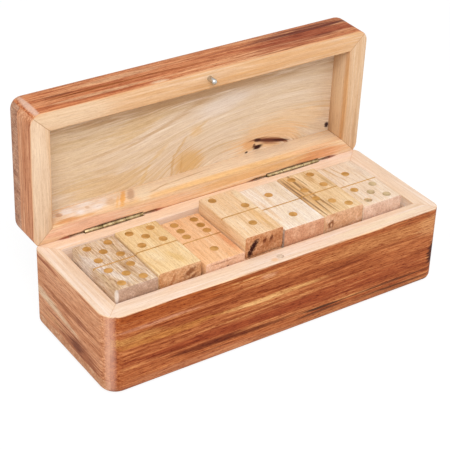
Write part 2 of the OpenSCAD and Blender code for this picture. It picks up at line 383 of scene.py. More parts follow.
def stretched_noise(tree, place, width, length, detail=3.0, roughness=0.55, offset=0.0):
    """Noise whose blots are a width across the grain and a length along it, in millimetres."""
    scale = (1 / length, 1 / width, 1 / width)
    squeezed = add(tree, "ShaderNodeMapping", {"Vector": place, "Location": (offset,) * 3, "Scale": scale})
    settings = {"Vector": squeezed.outputs["Vector"], "Scale": 1.0, "Detail": detail, "Roughness": roughness}
    return add(tree, "ShaderNodeTexNoise", settings)


# %% [markdown]
# A mark is a soft ellipsoid. Its place, size and tilt go into one Mapping node of the texture kind, and
# what comes out of it is 0 at the ellipsoid's centre and 1 on its skin. MARK_EDGE says between which of
# these values a mark fades out, and what frays it is added before that.

# %% Marks
MARK_EDGE = (0.45, 1.1)


def nearness(tree, place, centre, radii, tilt=(0, 0, 0)):
    """0 at the centre of an ellipsoid, 1 on its skin, and on beyond it. The tilt is in degrees."""
    turn = [math.radians(angle) for angle in tilt]
    inputs = {"Vector": place, "Location": centre, "Rotation": turn, "Scale": radii}
    inside = add(tree, "ShaderNodeMapping", inputs, vector_type="TEXTURE").outputs["Vector"]
    return add(tree, "ShaderNodeVectorMath", {0: inside}, operation="LENGTH").outputs["Value"]


def tinted(tree, cover, tint, hex_value):
    """A colour laid over another where cover is 1."""
    mixed = add(tree, "ShaderNodeMix", {0: cover, 6: tint, 7: colour(hex_value)}, data_type="RGBA")
    return mixed.outputs[2]


def paint(tree, place, tint, marks, fray=0.0):
    """Lays marks over a colour. A mark is (centre, radii, colour, strength), and a tilt may follow."""
    for centre, radii, hex_value, strength, *tilt in marks:
        near = nearness(tree, place, centre, radii, *tilt)
        near = add(tree, "ShaderNodeMath", {0: near, 1: fray}, operation="ADD").outputs[0]
        fade = span(near, MARK_EDGE, (strength, 0.0))
        cover = add(tree, "ShaderNodeMapRange", fade, interpolation_type="SMOOTHSTEP").outputs["Result"]
        tint = tinted(tree, cover, tint, hex_value)
    return tint


# %% [markdown]
# The streaks aren't straight. They sway a little over a few centimetres, and near a knot they are pushed
# aside, most at its middle and not at all at its edge. Both are done by moving the place before any
# noise is read.

# %% Grain that sways and swirls
NOISE_MIDDLE = (0.5, 0.5, 0.5)
SWAY = (20, 60)


def swayed(tree, place, grain, wander, swirls):
    """The place along and across the grain, moved aside. A swirl is (centre, radii, push)."""
    run = along_grain(tree, place, grain)
    for centre, radii, push in swirls:
        fade = span(nearness(tree, place, centre, radii), (0.0, 1.0), (push, 0.0))
        lift = add(tree, "ShaderNodeMapRange", fade, interpolation_type="SMOOTHERSTEP").outputs["Result"]
        aside = add(tree, "ShaderNodeCombineXYZ", {"Y": lift}).outputs["Vector"]
        run = add(tree, "ShaderNodeVectorMath", {0: run, 1: aside}, operation="ADD").outputs["Vector"]
    slow = stretched_noise(tree, run, *SWAY, detail=1.0).outputs["Color"]
    wave = add(tree, "ShaderNodeVectorMath", {0: slow, 1: NOISE_MIDDLE}, operation="SUBTRACT")
    inputs = {0: wave.outputs["Vector"], 1: (0, wander * 2, wander * 2), 2: run}
    return add(tree, "ShaderNodeVectorMath", inputs, operation="MULTIPLY_ADD").outputs["Vector"]


# %% [markdown]
# Three more helpers finish the colour. Wood that gets darker also gets warmer, so a dark line keeps some
# of its red: WARM_DARK is what comes back of red, green and blue. The stain is sanded off along a ragged
# edge at the rim, and the mitres lie on the diagonals at the corners of the plan, where x and y are
# equally far from their ends.

# %% Shade, rim and mitre
WARM_DARK = (0.3, 0.02, -0.1)
RIM_FADE = (0.15, 0.75)
MITRE_LINE = (0.1, 0.32)
MITRE_STRENGTH = 0.7


def darkened(tree, tint, shade):
    """A colour times a shade, kept warm where it gets dark."""
    lost = add(tree, "ShaderNodeMath", {0: 1.0, 1: shade}, operation="SUBTRACT").outputs[0]
    warm = add(tree, "ShaderNodeVectorMath", {0: lost, 1: WARM_DARK, 2: shade}, operation="MULTIPLY_ADD")
    darker = add(tree, "ShaderNodeVectorMath", {0: tint, 1: warm.outputs["Vector"]}, operation="MULTIPLY")
    return darker.outputs["Vector"]


def sanded_at_rim(tree, place, tint, hex_value, fray):
    """The stain gone near the rim, along a ragged edge."""
    height = add(tree, "ShaderNodeSeparateXYZ", {"Vector": place}).outputs["Z"]
    above = add(tree, "ShaderNodeMath", {0: height, 1: RIM_Z}, operation="SUBTRACT").outputs[0]
    from_rim = add(tree, "ShaderNodeMath", {0: above}, operation="ABSOLUTE").outputs[0]
    ragged = add(tree, "ShaderNodeMath", {0: from_rim, 1: fray}, operation="SUBTRACT").outputs[0]
    bare = add(tree, "ShaderNodeMapRange", span(ragged, RIM_FADE, (1.0, 0.0))).outputs["Result"]
    return tinted(tree, bare, tint, hex_value)


def lined_at_mitres(tree, place, tint, hex_value):
    """A thin line where two mitred boards meet."""
    axes = add(tree, "ShaderNodeSeparateXYZ", {"Vector": place}).outputs
    x, y = (add(tree, "ShaderNodeMath", {0: axes[axis]}, operation="ABSOLUTE").outputs[0] for axis in "XY")
    across = add(tree, "ShaderNodeMath", {0: x, 1: y}, operation="SUBTRACT").outputs[0]
    off = add(tree, "ShaderNodeMath", {0: across, 1: HALF_L - HALF_W}, operation="SUBTRACT").outputs[0]
    off = add(tree, "ShaderNodeMath", {0: off}, operation="ABSOLUTE").outputs[0]
    on_line = add(tree, "ShaderNodeMapRange", span(off, MITRE_LINE, (MITRE_STRENGTH, 0.0))).outputs["Result"]
    return tinted(tree, on_line, tint, hex_value)


# %% [markdown]
# Five noises make the figure. Broad bands and streaks together pick a colour from the ramp. Fine lines,
# pores and specks of grit then darken it. Each reads its noise at another offset, so that they don't
# repeat each other. The middle of a noise is used most, so the spans stretch that part. The gloss is
# low, because the wood isn't varnished.

# %% A material of figured wood
FIGURE_SPAN = (0.33, 0.67)
PORE_SPAN = (0.54, 0.68)
LINE_SPAN = (0.34, 0.66)
GRIT_SPAN = (0.3, 0.7)
GRIT_SIZE = (0.4, 0.8)
FRAYED = 0.9
WOOD_RELIEF = (0.2, 0.1)
DRY_WOOD = {"IOR": 1.5, "Specular IOR Level": 0.12, "Roughness": 0.6}


def figured_wood(
    name, tones, grain="x", in_lid=False, band=(6, 120), streak=(1.0, 36), line=(0.42, 13), pore=(0.34, 3.0),
    streak_depth=0.5, line_depth=0.3, pore_depth=0.3, grit=0.04, wander=1.0, swirls=(), marks=(), worn=(),
    rim_tone=None, mitre_tone=None, uniform=DRY_WOOD, offset=0.0,
):
    """Sawn and sanded wood. tones are the ramp's stops, and worn marks, some of them painted light and
    shade, have no streaks in their edges.
    """
    material, tree = new_material(name)
    place = shut_place(tree, in_lid)
    run = swayed(tree, place, grain, wander, swirls)
    bands = stretched_noise(tree, run, *band, detail=2.0, offset=offset).outputs["Fac"]
    streaks = stretched_noise(tree, run, *streak, detail=4.0, offset=offset + 7).outputs["Fac"]
    lines = stretched_noise(tree, run, *line, detail=2.0, offset=offset + 5).outputs["Fac"]
    pores = stretched_noise(tree, run, *pore, detail=1.0, offset=offset + 3).outputs["Fac"]
    grains = stretched_noise(tree, run, *GRIT_SIZE, detail=1.0, offset=offset + 9).outputs["Fac"]

    mixed = add(tree, "ShaderNodeMix", {0: streak_depth, 2: bands, 3: streaks}, data_type="FLOAT").outputs[0]
    figure = add(tree, "ShaderNodeMapRange", span(mixed, FIGURE_SPAN, (0.0, 1.0))).outputs["Result"]
    tint = add(tree, "ShaderNodeValToRGB", {"Fac": figure}, stops=tones).outputs["Color"]
    fray = add(tree, "ShaderNodeMapRange", span(streaks, (0.0, 1.0), (-FRAYED, FRAYED))).outputs["Result"]
    tint = paint(tree, place, tint, marks, fray)

    drawn = span(lines, LINE_SPAN, (1 + line_depth / 2, 1 - line_depth))
    fine = add(tree, "ShaderNodeMapRange", drawn).outputs["Result"]
    dark = add(tree, "ShaderNodeMapRange", span(pores, PORE_SPAN, (0.0, pore_depth))).outputs["Result"]
    rough = add(tree, "ShaderNodeMapRange", span(grains, GRIT_SPAN, (grit, -grit))).outputs["Result"]
    shade = add(tree, "ShaderNodeMath", {0: fine, 1: dark}, operation="SUBTRACT").outputs[0]
    shade = add(tree, "ShaderNodeMath", {0: shade, 1: rough}, operation="ADD").outputs[0]
    tint = paint(tree, place, darkened(tree, tint, shade), worn)
    if rim_tone:
        tint = sanded_at_rim(tree, place, tint, rim_tone, fray)
    if mitre_tone:
        tint = lined_at_mitres(tree, place, tint, mitre_tone)
    height = add(tree, "ShaderNodeMath", {0: streaks, 1: dark}, operation="SUBTRACT").outputs[0]
    dress(tree, tint, height, WOOD_RELIEF, uniform)
    return material


# %% [markdown]
# ## The finishes of the case
# Outside, a red-brown stain over the streaks: it soaks in unevenly, so bands run from gold to dark
# brown. Inside and on the rims the wood is bare, a pale peach cream. The marks below are what makes this
# case that one: a golden streak and a dark band along the front, a worn pink corner at the front left,
# dark knots in the lid's panel. Marks are placed by their distance from the rim, or for the lid's
# underside by their distance from the hinge.

# %% Colours and marks of the stained boards
PALE_RIM = "#edc8a2"
MITRE_TONE = "#a97a54"
SOFT_MITRE = "#e0b896"
FRONT = -HALF_W
LEFT = -HALF_L
STAIN = [(0.0, "#6e2c12"), (0.3, "#9a4f26"), (0.55, "#b4683a"), (0.8, "#c17a48"), (1.0, "#cd9058")]
WORN_CORNER = [
    ((LEFT + 1.2, FRONT + 1.2, 22), (4.2, 4.2, 60), "#d8a690", 0.55),
    ((LEFT + 1.5, FRONT + 1.0, 27), (2.4, 2.4, 9), "#e6bd98", 0.5),
]


def on_front(x, z, half_length, half_width, hex_value, strength, tilt=0.0):
    """A mark on the front face. A positive tilt lowers its right end."""
    return ((x, FRONT, z), (half_length, 8, half_width), hex_value, strength, (0, tilt, 0))


def on_left(y, z, half_length, half_width, hex_value, strength, tilt=0.0):
    """A mark on the left face. A positive tilt raises its rear end."""
    return ((LEFT, y, z), (8, half_length, half_width), hex_value, strength, (tilt, 0, 0))


# %% Front wall
stained_front = figured_wood(
    "stained_mango_front", STAIN, rim_tone=PALE_RIM, offset=2, worn=WORN_CORNER, line=(0.42, 9),
    line_depth=0.46, pore_depth=0.55, grit=0.1,
    marks=[
        on_front(-62, 41.5, 52, 5, "#a14e1b", 0.7),
        on_front(-20, 43.5, 40, 1.4, "#873b12", 0.6),
        on_front(-70, 35.6, 30, 1.3, "#cf9270", 0.75),
        on_front(-42, 32.8, 50, 1.1, "#87390f", 0.75, 2.1),
        on_front(-86, 30.4, 22, 3.0, "#cd9250", 0.7),
        on_front(-66, 27, 34, 2.6, "#c48340", 0.6),
        on_front(-6, 26.6, 38, 2.0, "#dba264", 0.85, -1.0),
        on_front(-16, 26.2, 16, 1.0, "#e9b87c", 0.6),
        on_front(-9.5, 39.6, 6, 2.2, "#d59d75", 0.75),
        on_front(-40, 37.0, 30, 1.2, "#8a3f15", 0.5),
        on_front(-50, 21.8, 60, 0.9, "#8e441c", 0.6),
        on_front(-72, 24.4, 24, 0.9, "#8b4119", 0.6),
        on_front(30, 22.8, 50, 0.9, "#96491f", 0.55),
        on_front(10, 19.2, 60, 1.0, "#8b3d1a", 0.6),
        on_front(52, 13.2, 46, 0.9, "#8a3f1f", 0.6),
        on_front(-20, 16.2, 84, 4.0, "#974422", 0.7),
        on_front(-42, 12.0, 26, 1.9, "#64240b", 0.85),
        on_front(-64, 15.6, 20, 1.0, "#7f3412", 0.7),
        on_front(-30, 37.6, 28, 1.0, "#8e4218", 0.7),
        on_front(-18, 10.4, 34, 1.4, "#64260c", 0.8),
        on_front(62, 38, 50, 5.5, "#c58650", 0.6),
        on_front(95, 36, 12, 8, "#d69b66", 0.6),
        on_front(58, 31.6, 44, 1.0, "#9a5229", 0.5),
        on_front(66, 17, 40, 4.6, "#a4532b", 0.55),
        on_front(25, 8.9, 14, 0.9, "#3d180f", 0.9, 1.0),
        on_front(66, 9.0, 36, 0.8, "#4f2615", 0.7),
        on_front(97.5, 18, 4, 10, "#401509", 0.9),
    ],
)
print(stained_front.name, "has", len(stained_front.node_tree.nodes), "nodes")

# %% Left wall
stained_left = figured_wood(
    "stained_mango_left", [(0.0, "#a96540"), (0.35, "#cb8a60"), (0.65, "#d89b72"), (1.0, "#e6b48c")],
    grain="y", rim_tone=PALE_RIM, offset=11, worn=WORN_CORNER, line=(0.5, 9), line_depth=0.36,
    pore_depth=0.34, grit=0.07,
    marks=[
        on_left(25, 42.6, 13, 0.9, "#9c5739", 0.75),
        on_left(0, 27.4, 20, 1.3, "#a66743", 0.6),
        on_left(24, 22.0, 22, 3.0, "#e6c6a4", 0.9, 7.0),
        on_left(4, 19.4, 16, 1.8, "#e0bb98", 0.8, 7.0),
        on_left(-9, 11.4, 24, 5.0, "#a0603e", 0.9),
        on_left(-7, 12.4, 8, 3.4, "#7a432c", 0.8),
        on_left(0, 28.2, 34, 1.0, "#a1623d", 0.6),
        on_left(-12, 27.6, 8, 2.4, "#96563a", 0.6),
        on_left(12, 36, 20, 3.0, "#dba27c", 0.5),
        on_left(-4, 16.2, 32, 0.8, "#95573a", 0.7),
        on_left(16, 13, 12, 2.0, "#d0a070", 0.4),
    ],
)
print(stained_left.name, "has", len(stained_left.node_tree.nodes), "nodes")

# %% Back and right wall, and the bottom board
stained_back = figured_wood("stained_mango_back", STAIN, rim_tone=PALE_RIM, offset=23)
stained_right = figured_wood("stained_mango_right", STAIN, grain="y", rim_tone=PALE_RIM, offset=31)
stained_base = figured_wood(
    "stained_mango_base", STAIN, offset=41, worn=WORN_CORNER, line_depth=0.46, pore_depth=0.5, grit=0.08,
    marks=[
        on_front(-50, 4, 60, 3.4, "#c08058", 0.7),
        on_front(24, 6.6, 18, 0.9, "#4a1f12", 0.85),
        on_front(40, 4, 60, 3, "#ae6c42", 0.6),
        on_front(72, 5.6, 30, 0.9, "#5b3018", 0.8),
        on_front(85, 2.6, 24, 0.8, "#6b3c20", 0.7),
    ],
)
print("the box's stain is mixed from", [hex_value for place, hex_value in STAIN])

# %% [markdown]
# The lid was stained more thinly, so its wood is lighter. Its top board and front rail are glued face to
# face, and they share one list of marks, because the streaks look as if they ran on from one to the
# other.

# %% Lid's outside
def on_lid_front(x, w, half_length, half_width, hex_value, strength, tilt=0.0):
    """A mark on the lid's front face, placed by its height above the rim."""
    return on_front(x, RIM_Z + w, half_length, half_width, hex_value, strength, tilt)


LID_FRONT_MARKS = [
    on_lid_front(-58, 10.4, 40, 1.5, "#97511f", 0.8),
    on_lid_front(-78, 12.6, 14, 0.9, "#6f3418", 0.7),
    on_lid_front(-45, 15.6, 30, 2.6, "#dcaa82", 0.7),
    on_lid_front(-58, 5.4, 34, 1.6, "#deb087", 0.7),
    on_lid_front(-28, 1.4, 6, 1.6, "#f0cba6", 0.85),
    on_lid_front(-8, 9.6, 30, 1.2, "#9d5428", 0.5),
    on_lid_front(22, 14.6, 34, 1.0, "#a35c3a", 0.6),
    on_lid_front(70, 15.2, 42, 2.4, "#5a2016", 0.95),
    on_lid_front(66, 18.4, 38, 1.2, "#7a382a", 0.8),
    on_lid_front(64, 9.4, 46, 7.0, "#984529", 0.85),
    on_lid_front(60, 3.2, 44, 2.6, "#b2603e", 0.6),
    on_lid_front(76, 7.0, 12, 1.2, "#6f2f1c", 0.7),
    on_lid_front(44, 1.2, 26, 0.9, "#87411c", 0.7),
    on_lid_front(80, 3.4, 22, 1.4, "#cf8f60", 0.5),
]
JOINT_SHADOW = on_lid_front(84, 0.4, 10, 0.5, "#34140e", 0.8)
LID_CORNER = [((LEFT + 4.4, FRONT + 1, RIM_Z + 9), (1.8, 5, 16), "#ecccb8", 0.6)]
LID_STAIN = [(0.0, "#a4532e"), (0.35, "#cd7f52"), (0.65, "#dc986a"), (1.0, "#e9b588")]
stained_lid_front = figured_wood(
    "stained_mango_lid_front", LID_STAIN, in_lid=True, rim_tone="#d9a276", offset=53, worn=LID_CORNER,
    line_depth=0.44, pore_depth=0.42, grit=0.08, marks=LID_FRONT_MARKS + [JOINT_SHADOW],
)
stained_lid_side = figured_wood(
    "stained_mango_lid_side", [(0.0, "#b06c48"), (0.4, "#d4936a"), (0.7, "#e2a67e"), (1.0, "#efc09a")],
    grain="y", in_lid=True, rim_tone="#ddb08a", offset=61, line_depth=0.35, grit=0.07,
    marks=[on_left(0, RIM_Z + 9, 40, 3, "#c07a50", 0.5)],
)
stained_lid_back = figured_wood("stained_mango_lid_back", STAIN, in_lid=True, rim_tone=PALE_RIM, offset=71)
stained_lid_top = figured_wood(
    "stained_mango_lid_top", LID_STAIN, in_lid=True, offset=83, worn=LID_CORNER,
    line_depth=0.44, pore_depth=0.42, grit=0.08, marks=LID_FRONT_MARKS,
)
print("marks on the lid's front:", len(LID_FRONT_MARKS))

# %% [markdown]
# Bare boards are the same wood without the stain. The rims carry a faint glue line at each mitre. Along
# the hinge edge the stain has crept over the arris and into the kerfs, and painted shade deepens the reddish
# line between box and lid, the kerf ends and the grooves round the hinge barrels. At the catch hole a
# painted highlight lights its far wall, and painted shade lies at its left edge.

# %% Bare boards of the box
BARE = [(0.0, "#e9c8a6"), (0.4, "#f1d5bb"), (0.7, "#f5decb"), (1.0, "#fae9dc")]
REAR_INNER = HALF_W - WALL_T
# Painted highlight on the catch hole's far wall, inside the hole, and warm painted shade at its left edge.
HOLE_HIGHLIGHT_AND_SHADE = [
    ((-4.2, FRONT + 3.4, RIM_Z), (2.4, 1.6, 1), "#eebd8c", 0.7),
    ((0.2, FRONT + 4.6, RIM_Z - 4), (3.2, 3.2, 5), "#fbeedb", 1.0),
]
# Stain crept along the hinge edge and into the kerf ends, darkened with painted shade. The two darkest marks
# at the hinges are painted shade in the grooves round the barrels.
JOINT_STAIN_AND_SHADE = [
    ((0, AXIS.y + 0.3, RIM_Z), (130, 0.7, 1.0), "#c07a54", 0.8),
    ((-81, AXIS.y, RIM_Z), (7, 1.3, 3), "#a85a40", 0.85),
    ((-31.5, AXIS.y, RIM_Z), (7, 1.3, 3), "#b3684a", 0.85),
    ((32.5, AXIS.y, RIM_Z), (7, 1.3, 3), "#94604a", 0.85),
    ((80, AXIS.y, RIM_Z), (7, 1.3, 3), "#9c5a44", 0.85),
    ((-56.4, AXIS.y, RIM_Z), (19, 2.5, 2.5), "#6b4433", 0.9),
    ((56.4, AXIS.y, RIM_Z), (19, 2.5, 2.5), "#6b4433", 0.9),
]
bare_long = figured_wood(
    "bare_mango_long", BARE, line_depth=0.1, pore_depth=0.1, offset=5, mitre_tone=SOFT_MITRE,
    worn=JOINT_STAIN_AND_SHADE + HOLE_HIGHLIGHT_AND_SHADE,
    marks=[
        ((-20, HALF_W - 5, RIM_Z), (110, 6, 3), "#f3d3b2", 0.6),
        ((60, FRONT + 4, RIM_Z), (30, 3, 3), "#f3ddbd", 0.6),
        ((-50, FRONT + 6, RIM_Z), (40, 3, 3), "#f1d3b4", 0.6),
    ],
)
bare_short = figured_wood(
    "bare_mango_short", BARE, grain="y", line_depth=0.1, pore_depth=0.1, offset=15,
    mitre_tone=SOFT_MITRE, marks=[((HALF_L - 5, 0, RIM_Z), (6, 40, 3), "#efd2b6", 0.5)],
)
print("bare boards:", bare_long.name, "and", bare_short.name)

# %% [markdown]
# The lid's panel is the liveliest board of all: its grain flows in wide curves round a dark knot at the
# right. The swirls push the streaks aside there, the marks draw the yellow flames and the knot, and the
# sharpest dark edges of the knot are worn marks, so that no streak breaks them up. A broad mark along the
# upper rail is a brown streak with painted shade over it, the shade that the rail casts. Below the panel,
# the low rail has pale rough spots at the left, and painted shade at its left end.

# %% Lid's panel
def on_panel(x, v, half_length, half_width, hex_value, strength, tilt=0.0):
    """A mark on the panel, placed by its distance v from the hinge. A positive tilt lowers its right end."""
    return ((x, AXIS.y - v, RAIL_TOP), (half_length, half_width, 5), hex_value, strength, (0, 0, tilt))


def on_low_rail(x, w, half_length, half_width, hex_value, strength, tilt=0.0):
    """A mark on the inner face of the lid's low rail, placed by its depth w below the lid's rim."""
    return ((x, REAR_INNER, RIM_Z + w), (half_length, 2, half_width), hex_value, strength, (0, tilt, 0))


bare_panel = figured_wood(
    "bare_mango_panel", [(0.0, "#d3b792"), (0.35, "#dec7a9"), (0.7, "#e4d0b8"), (1.0, "#ecdcc8")],
    in_lid=True, band=(4, 110), streak=(1.5, 30), line=(0.5, 12), pore=(0.3, 2.4), streak_depth=0.45,
    line_depth=0.15, pore_depth=0.1, grit=0.05, wander=3.5, offset=25,
    swirls=[
        ((50, AXIS.y - 10, RAIL_TOP), (120, 60, 20), 34),
        ((16, AXIS.y - 6, RAIL_TOP), (50, 34, 20), 18),
        ((52, AXIS.y - 11, RAIL_TOP), (30, 22, 20), 12),
    ],
    marks=[
        on_panel(-70, 36, 40, 22, "#dcc19a", 0.5),
        on_panel(-50, 14, 34, 8, "#dcbc8d", 0.6),
        on_panel(-30, 45, 26, 6, "#d9b988", 0.6, -16),
        on_panel(-50, 33.4, 36, 1.2, "#c9a67e", 0.45, -8),
        on_panel(-24, 37.4, 30, 1.2, "#c7a277", 0.5, -17),
        on_panel(0, 46.2, 18, 1.1, "#c9a57c", 0.45, -17),
        # Painted shade under the upper rail, laid over a brown streak.
        on_panel(0, 53.6, 90, 6, "#bf9a72", 0.75),
        on_panel(-3, 14, 11, 9, "#d9ae6e", 0.75),
        on_panel(-29, 14, 1.6, 9, "#dab884", 0.6, 24),
        on_panel(-21, 24, 1.6, 9, "#dcbc8a", 0.55, 52),
        on_panel(-12.4, 14, 1.1, 9, "#cfa56e", 0.6, 6),
        on_panel(-8, 24, 1.2, 9, "#d2aa74", 0.6, 36),
        on_panel(4, 33, 1.2, 9, "#d6b482", 0.5, 58),
        on_panel(-7, 12, 0.8, 9, "#cfa163", 0.5, 4),
        on_panel(2, 31, 5, 4, "#e2bd86", 0.5),
        on_panel(18, 43, 22, 6, "#ebe0d6", 0.6, -12),
        on_panel(62, 22, 34, 9, "#e9c79b", 0.6),
        on_panel(48, 14, 26, 9, "#e9bd8c", 0.7),
        on_panel(36, 14, 5, 3, "#dfa468", 0.6),
        on_panel(51, 12.4, 16, 2.2, "#9a6244", 0.9, 15),
        on_panel(41.8, 10.2, 3.6, 1.7, "#391a17", 1.0),
        on_panel(39.6, 12.2, 1.0, 1.4, "#5d3526", 0.8),
        on_panel(34.6, 9.2, 1.2, 0.8, "#391a17", 0.95),
        on_panel(88.4, 12.0, 1.9, 2.4, "#45302f", 1.0),
    ],
    worn=[
        on_panel(50.5, 12.5, 13, 1.3, "#5a2c22", 0.9, 15),
        on_panel(41.5, 15.0, 3.0, 1.3, "#3c1b18", 0.9, 10),
        on_panel(57, 10.9, 7, 0.9, "#431f1a", 0.8, 15),
    ],
)
print("nodes in the panel's wood:", len(bare_panel.node_tree.nodes))

# %% Lid's rails
bare_lid_front = figured_wood(
    "bare_mango_lid_front", [(0.0, "#cf9c68"), (0.4, "#d9ad80"), (0.7, "#dfb993"), (1.0, "#e6c6a8")],
    in_lid=True, line_depth=0.13, pore_depth=0.12, offset=35, mitre_tone=MITRE_TONE,
    marks=[
        ((-78, FRONT + 5, RIM_Z), (30, 7, 3), "#e0c4a4", 0.7),
        ((58, FRONT + 5, RIM_Z), (50, 6, 3), "#d9a672", 0.6),
    ],
)
bare_lid_side = figured_wood(
    "bare_mango_lid_side", [(0.0, "#cca27a"), (0.4, "#d8b18a"), (0.7, "#debe9c"), (1.0, "#e6caac")],
    grain="y", in_lid=True, line_depth=0.14, pore_depth=0.14, offset=45, mitre_tone=MITRE_TONE,
    marks=[
        ((HALF_L - WALL_T, 0, RIM_Z + 8), (2.2, 44, 8), "#ecd0ac", 0.7),
        ((HALF_L - WALL_T, 0, RIM_Z + 1.6), (2.2, 44, 2), "#d79e60", 0.6),
        ((LEFT + 5, 0, RIM_Z), (6, 50, 3), "#e6ccb0", 0.7),
    ],
)
bare_lid_back = figured_wood(
    "bare_mango_lid_back", [(0.0, "#e6b984"), (0.4, "#edc79a"), (0.7, "#f1d0aa"), (1.0, "#f5dcc0")],
    in_lid=True, line_depth=0.14, pore_depth=0.14, offset=55, mitre_tone=MITRE_TONE,
    worn=JOINT_STAIN_AND_SHADE,
    marks=[
        on_low_rail(20, 9, 110, 8, "#eedac0", 0.85),
        on_low_rail(15, 1.6, 60, 2.6, "#f2c687", 0.7),
        on_low_rail(-66, 8, 22, 7, "#f2e4d9", 0.8),
        on_low_rail(-77, 9.6, 4, 2.6, "#f5ece6", 0.95),
        on_low_rail(-71, 5.6, 3, 2.2, "#f4ebe6", 0.95),
        on_low_rail(-66, 11, 5, 2.2, "#f5ede8", 0.95),
        on_low_rail(-61, 6, 3.4, 3.4, "#f3e9e2", 0.95),
        on_low_rail(-56, 10, 3, 2.4, "#f1e4da", 0.9),
        # Painted shade at the left end of the low rail, in the corner.
        on_low_rail(-82, 8, 2, 2.4, "#cfa17c", 0.8),
        on_low_rail(-80, 2.0, 9, 2.2, "#dd9f66", 0.9),
        on_low_rail(-69, 1.4, 5, 1.4, "#e6b27c", 0.8),
        on_low_rail(-66, 8.2, 1.6, 1.6, "#dfc0a2", 0.8),
        on_low_rail(-53, 6, 3.4, 5.0, "#dfbc96", 0.85, 25),
        on_low_rail(-46.6, 6, 1.8, 9, "#ebb168", 0.95, 33),
        on_low_rail(-50.2, 5, 1.0, 7, "#ecbd80", 0.8, 33),
        on_low_rail(-41, 7.4, 2.6, 7, "#c09a7e", 0.75, 33),
        on_low_rail(-34, 7, 5, 9, "#ecd9bd", 0.8, 33),
        on_low_rail(-25, 6.4, 8, 0.6, "#c9a57c", 0.7, -16),
        on_low_rail(-6, 8.8, 18, 0.6, "#c9a880", 0.7, -5),
        on_low_rail(70, 1.4, 24, 1.6, "#efbf94", 0.7),
        ((-70, AXIS.y - 4, RIM_Z), (34, 5, 2.4), "#efbc9e", 0.8),
        ((-24, AXIS.y - 3, RIM_Z), (22, 5, 2.4), "#eebd96", 0.6),
        ((40, AXIS.y - 4.5, RIM_Z), (60, 3, 2.4), "#ebb877", 0.6),
        ((76, AXIS.y - 4, RIM_Z), (20, 4, 2.4), "#df9460", 0.7),
    ],
)
print("wood finishes:", len([m for m in bpy.data.materials if "mango" in m.name]))

# %% [markdown]
# ## End grain
# Where a board is cut across, its pores show as specks among soft clouds. The dominoes show this at
# their front ends, and the lid's top board along its short edges, where the saw has left fine rungs.

# %% A material of end grain
CLOUD, BLOT, SPECK, RUNG = (4.5, 4.5), (1.1, 1.1), (0.45, 0.45), (0.7, 6)
CLOUD_SPAN = (0.35, 0.65)
BLOT_SPAN = (0.25, 0.75)
SPECK_SPAN = (0.52, 0.72)
RUNG_SPAN = (0.4, 0.66)
SPECK_SHADE = 0.72
BLOT_FRAY = 0.25
END_RELIEF = (0.3, 0.12)


def end_grain(name, tones, in_lid=False, rung_depth=0.0, marks=(), worn=(), offset=0.0):
    """Wood cut across its grain: clouds a few millimetres wide, dark specks, and the saw's rungs."""
    material, tree = new_material(name)
    place = shut_place(tree, in_lid)
    upright = along_grain(tree, place, "z")
    clouds = stretched_noise(tree, place, *CLOUD, detail=2.0, offset=offset).outputs["Fac"]
    blots = stretched_noise(tree, place, *BLOT, detail=2.0, offset=offset + 4).outputs["Fac"]
    specks = stretched_noise(tree, place, *SPECK, detail=1.0, offset=offset + 8).outputs["Fac"]
    rungs = stretched_noise(tree, upright, *RUNG, detail=2.0, offset=offset + 2).outputs["Fac"]

    mixed = add(tree, "ShaderNodeMix", {0: 0.5, 2: clouds, 3: blots}, data_type="FLOAT").outputs[0]
    figure = add(tree, "ShaderNodeMapRange", span(mixed, CLOUD_SPAN, (0.0, 1.0))).outputs["Result"]
    tint = add(tree, "ShaderNodeValToRGB", {"Fac": figure}, stops=tones).outputs["Color"]
    fray = add(tree, "ShaderNodeMapRange", span(blots, BLOT_SPAN, (-BLOT_FRAY, BLOT_FRAY))).outputs["Result"]
    tint = paint(tree, place, tint, marks, fray)
    speckled = add(tree, "ShaderNodeMapRange", span(specks, SPECK_SPAN, (1.0, SPECK_SHADE)))
    runged = add(tree, "ShaderNodeMapRange", span(rungs, RUNG_SPAN, (1.0, 1 - rung_depth)))
    both = {0: speckled.outputs["Result"], 1: runged.outputs["Result"]}
    shade = add(tree, "ShaderNodeMath", both, operation="MULTIPLY").outputs[0]
    tint = add(tree, "ShaderNodeVectorMath", {0: tint, "Scale": shade}, operation="SCALE").outputs["Vector"]
    tint = paint(tree, place, tint, worn)
    dress(tree, tint, specks, END_RELIEF, DRY_WOOD)
    return material


stained_ends = end_grain(
    "stained_mango_end_grain", [(0.0, "#a26b4e"), (0.5, "#c79070"), (1.0, "#dcae90")],
    in_lid=True, rung_depth=0.36,
)
base_ends = end_grain(
    "stained_mango_base_end_grain", [(0.0, "#b0764f"), (0.5, "#c98f68"), (1.0, "#dcae88")],
    worn=WORN_CORNER, offset=9,
)
print("end grain:", stained_ends.name, "and", base_ends.name)

# %% [markdown]
# ## Box boards
# The four walls stand on the bottom board. Each wall is sawn out of the same rounded blank. The rear
# edges are also cut at a slant, so that lid and box meet face to face when the lid is open, which is
# what stops it. The outer arris of the rim gets a soft rounding, and all other edges only lose their
# sharpness. Then the faces that look outwards take the stain and the others stay bare. HAIR is a gap too
# thin to see, which keeps the lid's rim off the box's rim when the lid is shut, and one domino off the
# next.

